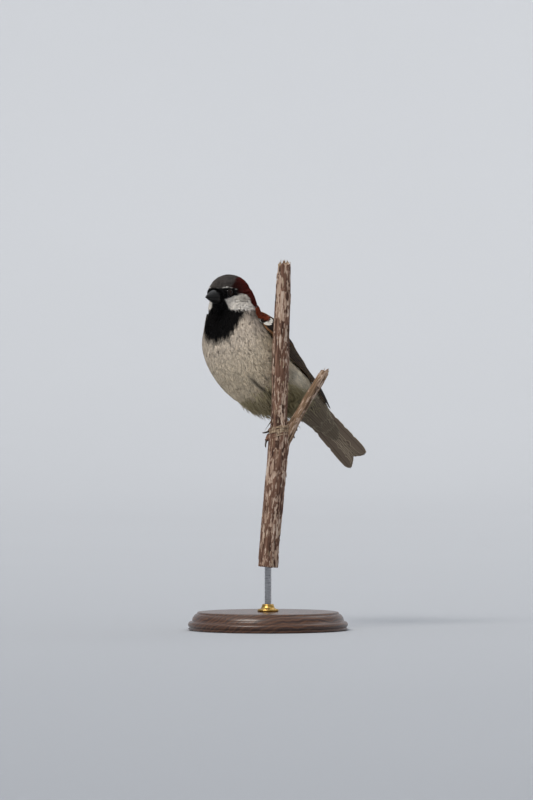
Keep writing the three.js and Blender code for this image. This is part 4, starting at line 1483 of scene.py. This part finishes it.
LEG = leg_material()
CLAW = claw_material()

# ---- perch
STEM = np.array([
    [0.0, 0.0, 37.8, 6.1],
    [2.2, 0.0, 66.0, 6.1],
    [5.0, 0.0, 96.0, 6.2],
    [6.4, 0.0, 110.0, 6.2],
    [7.0, 0.0, 118.0, 6.0],
    [6.7, 0.0, 126.0, 4.7],
    [7.2, 0.0, 145.0, 4.9],
    [7.7, 0.0, 168.0, 5.0],
    [9.0, 0.0, 198.0, 4.5],
    [9.8, 0.0, 220.0, 4.1],
])
TWIG = np.array([
    [9.6, 0.0, 112.0, 3.4],
    [13.2, 0.3, 119.6, 3.5],
    [17.6, 0.8, 127.5, 2.9],
    [24.0, 1.6, 138.5, 2.7],
    [30.6, 2.2, 149.0, 2.9],
    [34.2, 2.5, 155.0, 2.6],
])
FORK_BAND_X, FORK_BAND_Z = 6.8, 121.0
BARK_VOXEL = 0.42


def straightened(points, line):
    """Points in a straightened frame of a branch, and how far out they lie for its radius."""
    t = np.linspace(0, 1, 400)
    rows = smooth(line, t)
    centres = rows[:, :3]
    gap = (points ** 2).sum(1)[:, None] - 2 * points @ centres.T + (centres ** 2).sum(1)
    nearest = gap.argmin(1)
    tangents = unit(np.gradient(centres, axis=0))[nearest]
    distance = np.concatenate([[0], np.cumsum(np.linalg.norm(np.diff(centres, axis=0), axis=1))])[nearest]
    depth_way = np.array([0.0, 1.0, 0.0])
    first = across(np.broadcast_to(depth_way, tangents.shape), tangents)
    second = np.cross(tangents, first)
    away = points - centres[nearest]
    distance = distance + dots(away, tangents)
    straight = np.stack([dots(away, first), dots(away, second), distance], -1)
    return straight, np.sqrt(dots(away, away)) / rows[nearest, 3]


def make_perch():
    """The dry stem and its side twig: split bark with long strips peeled down to pale wood."""
    made = merged_solids(["perch_stem"], 0.0, BARK_VOXEL, 3)
    points, _, normals = mesh_arrays(made)
    on_stem, out_stem = straightened(points, STEM)
    on_twig, out_twig = straightened(points, TWIG)
    on_the_twig = out_twig < out_stem
    twig = on_the_twig[:, None]
    grain = np.where(twig, on_twig + [40.0, 0, 0], on_stem)
    long_way = grain * [1, 1, 0.12]
    fissure = noise(long_way, 1.1, 21)
    lump = noise(grain * [1, 1, 0.4], 6.0, 22)
    strip = 0.34 * noise(long_way * [1, 1, 1.6], 3.0, 23)
    strip = strip + 0.36 * noise(long_way * [1, 1, 3.5], 1.5, 24)
    strip += 0.3 * noise(long_way * [1, 1, 4.5], 0.8, 25)
    # How bare the wood is at each height, on the stem and then on the twig.
    height = points[:, 2]
    bare = table([37, 60, 90, 112, 124, 150, 190, 206, 214, 223],
                 [0.04, 0.08, 0.06, 0.02, -0.04, -0.02, 0.0, 0.07, 0.03, 0.14], height)
    twig_bare = table([112, 130, 140, 150, 158], [0.0, -0.06, 0.0, 0.1, 0.16], height)
    bare = np.where(on_the_twig, twig_bare, bare)
    bare = bare + 0.13 * np.exp(-(((height - 199) / 9) ** 2)) * ramp(-points[:, 1], -1, 2)
    peel = ramp(strip + bare, 0.53, 0.66)
    band = np.exp(-((height - FORK_BAND_Z - 0.16 * (points[:, 0] - 8)) / 1.7) ** 2)
    peel = np.maximum(peel, 0.8 * band * ramp(fissure, 0.35, 0.6))
    shift = 0.34 * (fissure - 0.5) + 0.5 * (lump - 0.5) - 0.28 * peel + 0.12
    shift[(out_stem < 0.6) & (height < 52)] = 0  # the bore for the rod stays plain
    points = points + normals * shift[:, None]
    # The break at the top slants down to the left and is notched between its splinters.
    notch = 2.6 * ramp(8.8 - points[:, 0], -1.5, 3.5)
    notch = notch + 2.4 * (noise(points * [1, 1, 0.02], 1.5, 26) - 0.4)
    points[:, 2] -= notch * ramp(height, 208, 220)
    made.vertices.foreach_set("co", (points * MM).astype(np.float32).ravel())
    made.update()
    perch = placed(made, "perch_bark", BARK, "bark")
    paint(perch, "grain", grain * MM, "FLOAT_VECTOR")
    paint(perch, "wear", np.stack([peel, fissure, on_the_twig * 1.0], -1), "FLOAT_VECTOR")
    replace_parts(perch, "perch_stem")


def make_fibres():
    """Frayed bark fibres: a band of them wound round the fork, and splinters at the broken ends."""
    draw = np.random.default_rng(77)
    parts = []
    for _ in range(90):
        start = draw.uniform(0, 2 * math.pi)
        turn = draw.uniform(0.7, 2.2)
        radius = draw.uniform(5.5, 6.3)
        low = FORK_BAND_Z - 0.6 + draw.normal(0, 1.0)
        angles = start + np.linspace(0, turn, 5)
        rise = 0.16 * radius * np.cos(angles) + draw.normal(0, 0.25, 5)
        x = FORK_BAND_X + radius * np.cos(angles)
        path = np.stack([x, radius * np.sin(angles) * 0.98, low + rise], -1)
        path[-1] += draw.normal(0, 0.5, 3)
        parts.append(sweep(path, [0.1, 0.2, 0.22, 0.18, 0.05], 5, 14)[:2])
    for line, count, spread in ((STEM, 30, 3.4), (TWIG, 16, 2.0)):
        end = line[-1, :3]
        way = unit(line[-1, :3] - line[-2, :3])
        for _ in range(count):
            offset = across(draw.normal(size=3), way) * spread * math.sqrt(draw.random())
            foot = end + offset - way * 2.5
            point = end + offset * 1.12 + way * draw.uniform(-0.6, 2.4) + draw.normal(0, 0.15, 3)
            parts.append(sweep([foot, (foot + point) / 2, point], [0.5, 0.34, 0.05], 5, 6)[:2])
    for _ in range(46):  # lifted slivers of bark along the stem
        t = draw.uniform(0.02, 0.97)
        row = smooth(STEM, np.array([t]))[0]
        turn = draw.uniform(0, 2 * math.pi)
        out = np.array([math.cos(turn), math.sin(turn), 0])
        foot = row[:3] + out * (row[3] - 0.25)
        length = draw.uniform(2.0, 6.0)
        way = UP * (1 if draw.random() < 0.6 else -1)
        middle = foot + way * length * 0.5 + out * 0.3
        end = foot + way * length + out * draw.uniform(0.35, 0.8)
        parts.append(sweep([foot, middle, end], [0.42, 0.34, 0.06], 5, 8)[:2])
    points, faces = joined(parts)
    new_piece("bark_fibres", points, faces, FIBRE, "bark")


def bark_material():
    """Reddish-brown dry bark, cracked along the grain, with strips worn to pale wood."""
    material, tree, shader = new_material("bark", Specular_IOR_Level=0.2)
    grain = attribute(tree, "grain").outputs["Vector"]
    wear = node(tree, "ShaderNodeSeparateXYZ", {0: attribute(tree, "wear").outputs["Vector"]})
    peel, fissure, twig = (wear.outputs[k] for k in range(3))
    fine = streaks(tree, grain, 1100.0, 0.07, 5.0)
    broad = streaks(tree, grain, 260.0, 0.12, 4.0)
    flake = streaks(tree, grain, 780.0, 0.24, 6.0)
    stops = [(0.3, tint(56, 38, 31)), (0.5, tint(112, 82, 67)), (0.7, tint(146, 114, 96))]
    bark = ramp_node(tree, fine, stops)
    tan = mix_node(tree, fine, tint(120, 98, 70), tint(182, 158, 122))
    bark = mix_node(tree, times(tree, twig, 0.35), bark, tan)
    crack = soft_step(tree, minus(tree, 0.42, fissure), 0.0, 0.12)
    bark = mix_node(tree, times(tree, crack, 0.65), bark, tint(40, 27, 22))
    stops = [(0.3, tint(140, 110, 92)), (0.5, tint(184, 158, 138)), (0.72, tint(222, 206, 190))]
    wood = ramp_node(tree, fine, stops)
    near_wear = plus(tree, times(tree, peel, 0.16), times(tree, twig, 0.035))
    flecked = plus(tree, plus(tree, flake, times(tree, broad, 0.35)), near_wear)
    shade = mix_node(tree, soft_step(tree, flecked, 0.71, 0.82), bark, wood)
    finish(tree, shader, shade, swung(tree, fine, 0.2, 0.75), (fine, 0.8, 0.0003))
    return material


def fibre_material():
    """Pale frayed bark fibre."""
    material, tree, shader = new_material("fibre", Specular_IOR_Level=0.2)
    streak = streaks(tree, own_place(tree), 900.0, 0.3, 4.0)
    stops = [(0.3, tint(112, 84, 64)), (0.5, tint(176, 152, 126)), (0.72, tint(214, 196, 170))]
    shade = ramp_node(tree, streak, stops)
    finish(tree, shader, shade, swung(tree, streak, 0.2, 0.7), (streak, 0.5, 0.0001))
    return material


BARK = bark_material()
FIBRE = fibre_material()

# ---- stand
BASE_RADIUS = 48.0
BASE_HEIGHT = 11.0
BEAD_HEIGHT, BEAD_RADIUS = 3.4, 1.9
COVE_FOOT = 5.9
EDGE_OF_TOP = [(0.5, 5.5), (0.1, 6.1), (0.0, 7.0)]  # below the top, and in from the rim
ROD_RADIUS = 2.0
ROD_TOP = 49.8
# The collar's outline: height and radius, from its foot on the base up to its top.
COLLAR_OUTLINE = [
    (11.0, 2.05), (11.0, 6.0), (11.3, 6.3), (11.9, 6.4), (12.5, 6.2), (12.7, 5.6), (12.8, 4.9),
    (13.1, 4.4), (13.8, 3.9), (14.6, 3.6), (15.2, 3.5), (15.5, 3.3), (15.6, 2.9), (15.6, 2.05),
]


def base_profile():
    """The turned outline from the middle of the underside round to the middle of the top."""
    middle = 0.05
    rows = [(0.0, middle), (0.0, 20.0), (0.0, BASE_RADIUS - 1.2), (0.25, BASE_RADIUS - 0.5),
            (0.8, BASE_RADIUS)]
    for turn in np.linspace(-0.35 * math.pi, 0.5 * math.pi, 10):
        rise = BEAD_HEIGHT + BEAD_RADIUS * math.sin(turn)
        rows.append((rise, BASE_RADIUS + BEAD_RADIUS * (math.cos(turn) - 1)))
    neck = BASE_RADIUS - 2.4
    rows += [(COVE_FOOT - 0.5, neck + 0.1), (COVE_FOOT, neck)]
    for turn in np.linspace(0, 0.5 * math.pi, 9):
        rows.append((COVE_FOOT + 3.9 * math.sin(turn), neck - 3.0 * (1 - math.cos(turn)) ** 0.8))
    rows += [(BASE_HEIGHT - drop, BASE_RADIUS - inward) for drop, inward in EDGE_OF_TOP]
    return rows + [(BASE_HEIGHT, radius) for radius in (30.0, 14.0, middle)]


def make_stand():
    """The turned base, the rod and the collar at the rod's foot."""
    points, faces = turned(np.zeros(3), UP, base_profile(), 144)
    base = new_piece("stand_wood", points, faces, TURNED_WOOD, "turned_wood")
    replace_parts(base, "stand_base")
    line = [[0, 0, BASE_HEIGHT], [0, 0, 30], [0, 0, ROD_TOP]]
    points, faces, _, _ = sweep(line, [ROD_RADIUS] * 3, 40, 24)
    rod = new_piece("stand_steel_rod", points, faces, STEEL, "rod_steel")
    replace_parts(rod, "stand_rod")
    points, faces = turned(np.zeros(3), UP, COLLAR_OUTLINE, 64)
    collar = new_piece("stand_brass_collar", points, faces, BRASS, "collar_brass")
    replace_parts(collar, "stand_collar")


def wood_material():
    """Dark polished hardwood: growth rings cut across and fine pores."""
    material, tree, shader = new_material(
        "turned_wood", Specular_IOR_Level=0.45, Coat_Weight=0.35, Coat_Roughness=0.22)
    inputs = {"Vector": own_place(tree), "Rotation": (1.35, 0.1, 0.3), "Location": (0.02, 0.05, 0.0)}
    place = node(tree, "ShaderNodeMapping", inputs).outputs[0]
    inputs = {"Vector": place, "Scale": 70.0, "Distortion": 4.0, "Detail": 3.0, "Detail Scale": 1.2}
    rings = node(tree, "ShaderNodeTexWave", inputs, wave_type="RINGS").outputs["Fac"]
    pores = streaks(tree, place, 1400.0, 0.05, 3.0)
    stops = [(0.1, tint(74, 46, 30)), (0.55, tint(104, 68, 44)), (0.95, tint(62, 38, 26))]
    open_pore = soft_step(tree, minus(tree, 0.42, pores), 0.0, 0.08)
    shade = ramp_node(tree, rings, stops)
    shade = mix_node(tree, times(tree, open_pore, 0.7), shade, tint(38, 23, 16))
    finish(tree, shader, shade, swung(tree, pores, 0.25, 0.28), (pores, 0.25, 0.0001))
    return material


def metal_material(name, shades, rough):
    """Turned metal with faint rings of machining."""
    material, tree, shader = new_material(name, Metallic=1.0)
    squeezed = scaled(tree, own_place(tree), (0.1, 0.1, 1.0))
    lines = noise_texture(tree, squeezed, 3000.0, 2.0)
    shade = ramp_node(tree, lines, [(0.3, shades[0]), (0.7, shades[1])])
    finish(tree, shader, shade, swung(tree, lines, 0.2, rough), (lines, 0.2, 0.00004))
    return material


TURNED_WOOD = wood_material()
STEEL = metal_material("steel", (tint(150, 150, 152), tint(186, 186, 188)), 0.2)
BRASS = metal_material("brass", (tint(176, 138, 70), tint(210, 172, 98)), 0.18)


# ---- the coat
# Where one part of the coat ends and the next begins: along the trunk, round it from the
# belly's middle in radians, and above the head's centre.
HEAD_FROM, BREAST_FROM, VENT_TO = 0.885, 0.62, 0.3
BACK_FROM = 1.9
CROWN_FROM = -0.5
BILL_SEAT_DROP = 2.75  # the middle of the bill's seat lies this far below the head's centre
# How many places are tried for feather roots before they are thinned out.
BODY_TRIALS, HEAD_TRIALS, SHELL_TRIALS = 110000, 200000, 26000
BRISTLE_TRIALS, FRINGE_TRIALS = 160000, 24000


def root_spacing(points):
    """Distance between feather roots: smallest by the bill and eyes, largest on the belly."""
    t, _ = body_coordinates(points)
    head = 0.84 - 0.28 * near_face(points)
    body = table([0, 0.12, 0.3, 0.6, 0.85], [1.5, 1.7, 2.0, 1.95, 1.5], t)
    return head + (body - head) * (1 - ramp(t, 0.86, 0.93))


def bare_places(points):
    """Where no feather is rooted: the eyes, the bill's seat and what the folded wings cover."""
    t, angle = body_coordinates(points)
    ahead, side, rise = head_coordinates(points)
    ring = (side / 3.5) ** 2 + ((rise + BILL_SEAT_DROP) / 3.9) ** 2
    seat = (ahead > 12.4) & (ring < 1)
    level = side_level(angle)
    low, high = wing_edges(t)
    reach = np.where(np.cos(angle) >= 0, -1.0, 1 + 19 * ramp(t, 0.3, 0.44))
    wing = (t > 0.12) & (t < 0.8) & (level > low + reach) & (level < high - 8)
    return (eye_gap(points) < EYE_BARE) | seat | wing


def coat_over(skin):
    """All small feathers that are rooted in the skin, in pieces by their part of the body."""
    draw = np.random.default_rng(5)
    coarse = 1.0
    roots, normals = skin.scatter(BODY_TRIALS, draw)
    keep = ~bare_places(roots)
    roots, normals = roots[keep], normals[keep]
    # The head takes more trial places than its share of the surface.
    more, more_normals = skin.scatter(HEAD_TRIALS, draw)
    t_more, _ = body_coordinates(more)
    extra = (t_more > 0.84) & ~bare_places(more)
    roots, normals = np.vstack([roots, more[extra]]), np.vstack([normals, more_normals[extra]])
    spacing = root_spacing(roots) * coarse
    kept = thin_out(roots, spacing)
    roots, spacing = roots[kept], spacing[kept]
    dressed = Dressed(skin)
    roots, normals = dressed.drop(roots)
    lie = flow_at(roots, normals)
    t, angle = body_coordinates(roots)
    _, _, rise = head_coordinates(roots)
    on_head = t > HEAD_FROM
    on_left = np.cos(angle) >= 0
    below = np.abs(turned_from_belly(angle)) < BACK_FROM
    breast = ~on_head & (t > BREAST_FROM) & below
    belly = (t <= BREAST_FROM) & (t > VENT_TO) & below
    regions = {
        "coat_crown": on_head & (rise > CROWN_FROM),
        "coat_face": on_head & (rise <= CROWN_FROM),
        "coat_breast_right": breast & ~on_left,
        "coat_breast_left": breast & on_left,
        "coat_belly_right": belly & ~on_left,
        "coat_belly_left": belly & on_left,
        "coat_vent": (t <= VENT_TO) & below,
        "coat_back": ~on_head & ~below,
    }
    for name, chosen in regions.items():
        headed = name in ("coat_crown", "coat_face")
        rows = (roots[chosen], normals[chosen], lie[chosen], spacing[chosen])
        coat_piece(name, dressed, *rows, headed, draw)


def coat_piece(name, skin, roots, normals, lie, spacing, headed, draw):
    """One piece of the coat; the head's feathers are shorter, neater and have fewer tufts."""
    tufts, longer, wider, ragged = (7, 3.7, 0.95, 0.12) if headed else (14, 4.8, 0.9, 0.3)
    lie = across(lie + draw.normal(0, 0.08, lie.shape), normals)
    length = spacing * longer * draw.uniform(0.88, 1.14, len(roots))
    depth = coat_depth(roots)
    feathers = Feathers(
        skin, roots, normals, lie, length, spacing * wider, depth, tufts, draw, ragged=ragged)
    places = head_map(roots) if headed else body_map(roots)
    feathers.piece(name, plain_colours(feathers, draw), places)


def plain_colours(feathers, draw):
    """The plumage's colours, with a little change of tone from tuft to tuft and darker roots."""
    shape = (feathers.count, feathers.tufts)
    at_middle = plumage_colour(feathers.middle.reshape(-1, 3)).reshape(*shape, 3)
    at_tip = plumage_colour(feathers.tip.reshape(-1, 3)).reshape(*shape, 3)
    tone = (1 + draw.normal(0, 0.03, (shape[0], 1, 1))) * (1 + draw.normal(0, 0.06, (*shape, 1)))
    # 0.93 keeps the roots a little darker: grey down and painted shade between the tufts
    return feathers.colours(at_middle * tone, at_tip * tone, 0.93)


def streaked_colours(feathers, base, rim, streak, draw):
    """Feathers with a black middle streak, where streak is above 0, and a paler rim."""
    spread = np.abs(feathers.spread)
    shade = base[:, None] + np.zeros((*spread.shape, 3))
    shade = blend(shade, rim, 0.8 * ramp(spread, 0.55, 0.9))
    shade = blend(shade, FEATHER_STREAK, ramp(0.5 - spread, -0.1, 0.12) * streak[:, None])
    tone = (1 + draw.normal(0, 0.06, (feathers.count, 1, 1))) * (1 + draw.normal(0, 0.08, (*spread.shape, 1)))
    return feathers.colours(shade * tone, blend(shade, rim, 0.25 + 0 * spread) * tone)


def shell_roots(shell, low_t, high_t, keep, spacing, draw):
    """Even places on the shell, with their normals, where keep(t, level, on_left) is true."""
    t = draw.uniform(low_t, high_t, SHELL_TRIALS)
    angle = draw.uniform(-math.pi, math.pi, SHELL_TRIALS)
    chosen = keep(t, side_level(angle), np.cos(angle) >= 0)
    t, angle = t[chosen], angle[chosen]
    roots = shell.point(t, angle)
    kept = thin_out(roots, np.full(len(roots), spacing))
    place, normals = shell.drop(roots[kept])
    return place, normals, t[kept], angle[kept]


def lie_back(t, angle, normals, rise):
    """Towards the tail, turned upwards round the body by rise."""
    _, forward, left, up = body_frame(t)
    tangent = np.cos(angle)[:, None] * up - np.sin(angle)[:, None] * left
    climb = np.where(np.cos(angle) >= 0, 1.0, -1.0)[:, None] * tangent
    return across(-forward + rise * climb, normals)


def make_overlay():
    """Feathers that lie over the folded wings: lesser coverts, shoulders and mantle."""
    draw = np.random.default_rng(15)
    shell = Shell(over_wing)

    for name, left in (("left", True), ("right", False)):

        def front(t, level, on_left, left=left):
            low, high = wing_edges(t)
            return (on_left == left) & (level > low + (3 if left else 20)) & (level < high + 2)

        roots, normals, t, angle = shell_roots(shell, 0.797, 0.885, front, 1.4, draw)
        lie = lie_back(t, angle, normals, draw.normal(0, 0.06, (len(t), 1)))
        length = 3.9 * draw.uniform(0.9, 1.1, len(t))
        feathers = Feathers(shell, roots, normals, lie, length, 1.4, 0.4, 9, draw)
        tone = draw.random(len(t))[:, None]
        base = LESSER * (0.65 + 0.5 * tone)
        colours = streaked_colours(feathers, base, LESSER * 1.25, 0.5 * (tone[:, 0] < 0.3), draw)
        feathers.piece(f"coat_shoulder_{name}", colours, body_map(roots))

        def scapular(t, level, on_left, left=left):
            lowest = table([0.46, 0.6, 0.72, 0.8, 0.86], [76, 64, 46, 34, 40], t)
            return (on_left == left) & (level > lowest) & (level < 78)

        roots, normals, t, angle = shell_roots(shell, 0.46, 0.85, scapular, 2.3, draw)
        lie = lie_back(t, angle, normals, -0.05 + draw.normal(0, 0.06, (len(t), 1)))
        length = table([0.46, 0.6, 0.85], [11.5, 10.0, 6.0], t) * draw.uniform(0.92, 1.08, len(t))
        feathers = Feathers(shell, roots, normals, lie, length, 2.5, 0.8, 14, draw, ragged=0.05)
        base = blend(plain(SCAPULAR, len(t)), MANTLE, draw.random(len(t)) * 0.6)
        streak = (draw.random(len(t)) < 0.72) * draw.uniform(0.7, 1.0, len(t))
        colours = streaked_colours(feathers, base, MANTLE_BUFF, streak, draw)
        feathers.piece(f"coat_scapular_{name}", colours, body_map(roots))

    def mantle(t, level, on_left):
        return level > 70

    roots, normals, t, angle = shell_roots(shell, 0.48, 0.87, mantle, 2.1, draw)
    lie = lie_back(t, angle, normals, draw.normal(0, 0.06, (len(t), 1)))
    length = table([0.48, 0.6, 0.87], [9.5, 8.5, 5.5], t) * draw.uniform(0.92, 1.08, len(t))
    feathers = Feathers(shell, roots, normals, lie, length, 2.2, 0.9, 14, draw, ragged=0.06)
    base = blend(plain(MANTLE, len(t)), CHEEK_GREY, 0.6 * ramp(t, 0.83, 0.87))
    streak = (draw.random(len(t)) < 0.8) * draw.uniform(0.75, 1.0, len(t))
    streak = streak * ramp(0.86 - t, 0, 0.03)
    colours = streaked_colours(feathers, base, MANTLE_BUFF, streak, draw)
    feathers.piece("coat_mantle", colours, body_map(roots))


def make_bristles(skin):
    """Short bristly feathers that point forwards over the root of the bill."""
    draw = np.random.default_rng(23)
    roots, _ = skin.scatter(BRISTLE_TRIALS, draw)
    ahead, side, rise = head_coordinates(roots)
    around = np.hypot(side / 3.7, (rise + BILL_SEAT_DROP) / 4.1)
    roots = roots[(ahead > 12.6) & (around > 0.86) & (around < 1.22)]
    roots = roots[thin_out(roots, np.full(len(roots), 0.5))]
    _, side, rise = head_coordinates(roots)
    outward = unit(side[:, None] * HEAD_LEFT + (rise + BILL_SEAT_DROP)[:, None] * UP)
    lie = unit(HEAD_FORWARD + 0.12 * outward + draw.normal(0, 0.1, roots.shape))
    length = draw.uniform(1.1, 1.9, len(roots))
    bristles = Feathers(
        skin, roots, outward, lie, length, 0.3, 0.25, 3, draw, stand=0.15, loose=1.0)
    bristles.piece("coat_bristles", plain_colours(bristles, draw), head_map(roots))


FRINGE_TONE = np.array([0.74, 0.74, 0.64])  # the long tufts are a darker olive than the belly


def make_fringe(skin):
    """Long loose tufts of the lower belly and thighs, which hang past the outline."""
    draw = np.random.default_rng(19)
    roots, normals = skin.scatter(FRINGE_TRIALS, draw)
    t, angle = body_coordinates(roots)
    thigh = (t > 0.2) & (t < 0.5) & (side_level(angle) < -40)
    roots, normals = roots[thigh], normals[thigh]
    kept = thin_out(roots, np.full(len(roots), 2.3))
    roots, normals = roots[kept], normals[kept]
    t, _ = body_coordinates(roots)
    _, forward, _, _ = body_frame(t)
    lie = across(-forward - 0.35 * UP + draw.normal(0, 0.14, roots.shape), normals)
    low_belly = ramp(t, 0.3, 0.36)
    length = (9.0 + 6.0 * low_belly) * draw.uniform(0.75, 1.3, len(t))
    stand = np.abs(draw.normal(0.2, 0.6, len(t)))
    stand = stand + low_belly * np.abs(draw.normal(0, 1.5, len(t)))
    feathers = Feathers(
        skin, roots, normals, lie, length, 1.7, 1.2, 9, draw, stand=stand, ragged=0.28, loose=0.75)
    colours = plain_colours(feathers, draw) * FRINGE_TONE
    feathers.piece("coat_belly_fringe", colours, body_map(roots))


def make_bird():
    """The bird: its skin and coat, then wings, eyes, feet, claws, tail and bill."""
    points, triangles, normals = mesh_arrays(make_skin())
    skin = Surface(points, triangles, normals)
    whole, faces = joined([(points, triangles), lid_ring(1), lid_ring(-1)])
    body = new_piece("skin", whole, faces, DOWN, "plumage")
    shade = plumage_colour(whole) * 0.85
    shade[len(points):] = LID
    paint(body, "tint", shade)
    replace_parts(body, "trunk", "neck", "head")
    coat_over(skin)
    make_overlay()
    make_bristles(skin)
    make_fringe(skin)
    make_tail_coverts()
    for name, side, seed in (("left", 1, 31), ("right", -1, 41)):
        wing = make_wing(f"wing_feathers_{name}", side, seed)
        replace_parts(wing, f"wing_{name}")
        make_eye(f"eye_{name}", side)
        make_foot(f"foot_{name}", LEGS[name])
        for toe in TOES:
            make_claw(f"claw_{name}_{toe}", *LEGS[name][toe])
    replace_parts(make_tail(), "tail")
    for name, side in (("upper", 1), ("lower", -1)):
        points, faces = mandible(side)
        horn = new_piece(f"bill_{name}_horn", points, faces, HORN, "bill_horn")
        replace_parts(horn, f"bill_{name}")


# ---- stage, lights and camera
def make_floor():
    """A wide pale floor that curves up into a rim far behind the model, in metres."""
    flat, curve, rim, sides = 3.5, 2.5, 5.0, 96
    rows = [(0.0, 0.001), (0.0, 0.6), (0.0, 1.6), (0.0, flat)]
    for turn in np.linspace(0.1, 0.5 * math.pi, 14):
        rows.append((curve * (1 - math.cos(turn)), flat + curve * math.sin(turn)))
    rows.append((rim, flat + curve))
    angle = np.linspace(0, 2 * math.pi, sides, endpoint=False)
    rings = [np.stack([r * np.cos(angle), r * np.sin(angle), z + 0 * angle], -1) for z, r in rows]
    points = np.vstack(rings) / MM
    new_piece("floor", points, grid_faces(len(rows), sides), FLOOR)


def floor_material():
    """Plain pale paper."""
    material, tree, shader = new_material("floor_paper", Specular_IOR_Level=0.1, Roughness=0.9)
    mottle = mottled(tree, tint(184, 187, 192), 2.0, 300.0, 0.03)
    finish(tree, shader, mottle.outputs["Colour"])
    return material


FLOOR = floor_material()


def add_light(name, toward, angle, power, shade):
    """A broad, even light that falls along one direction."""
    lamp = bpy.data.lights.new(name, "SUN")
    lamp.angle = math.radians(angle)
    lamp.energy = power
    lamp.color = shade
    lit = bpy.data.objects.new(name, lamp)
    lit.rotation_euler = Vector(toward).to_track_quat("-Z", "Y").to_euler()
    bpy.context.scene.collection.objects.link(lit)


def make_lights():
    add_light("key", (0.62, 0.78, -0.95), 28, 2.5, (1.0, 0.965, 0.91))
    add_light("fill", (-0.8, 0.75, -0.35), 50, 0.7, (0.95, 0.97, 1.0))
    add_light("back", (-0.45, -0.85, -0.8), 40, 0.5, (0.96, 0.98, 1.0))
    world = bpy.data.worlds.new("studio")
    world.use_nodes = True
    world.node_tree.nodes["Background"].inputs["Color"].default_value = (0.95, 0.97, 1.0, 1)
    world.node_tree.nodes["Background"].inputs["Strength"].default_value = 0.75
    bpy.context.scene.world = world


FRAME_HEIGHT = 0.480  # metres seen from top to bottom at the perch
CAMERA_DISTANCE = 3.0
CAMERA_X = -0.0009
CAMERA_Z = 0.138
SENSOR = 36.0


def make_camera():
    data = bpy.data.cameras.new("camera")
    data.sensor_width = SENSOR
    data.lens = SENSOR * CAMERA_DISTANCE / FRAME_HEIGHT
    data.clip_start = 0.05
    data.clip_end = 30
    camera = bpy.data.objects.new("camera", data)
    camera.location = (CAMERA_X, -CAMERA_DISTANCE, CAMERA_Z)
    camera.rotation_euler = (math.pi / 2, 0, 0)
    bpy.context.scene.collection.objects.link(camera)
    bpy.context.scene.camera = camera


make_camera()
make_lights()
make_floor()
make_stand()
make_perch()
make_fibres()
make_bird()
bpy.context.scene.view_settings.view_transform = "Standard"
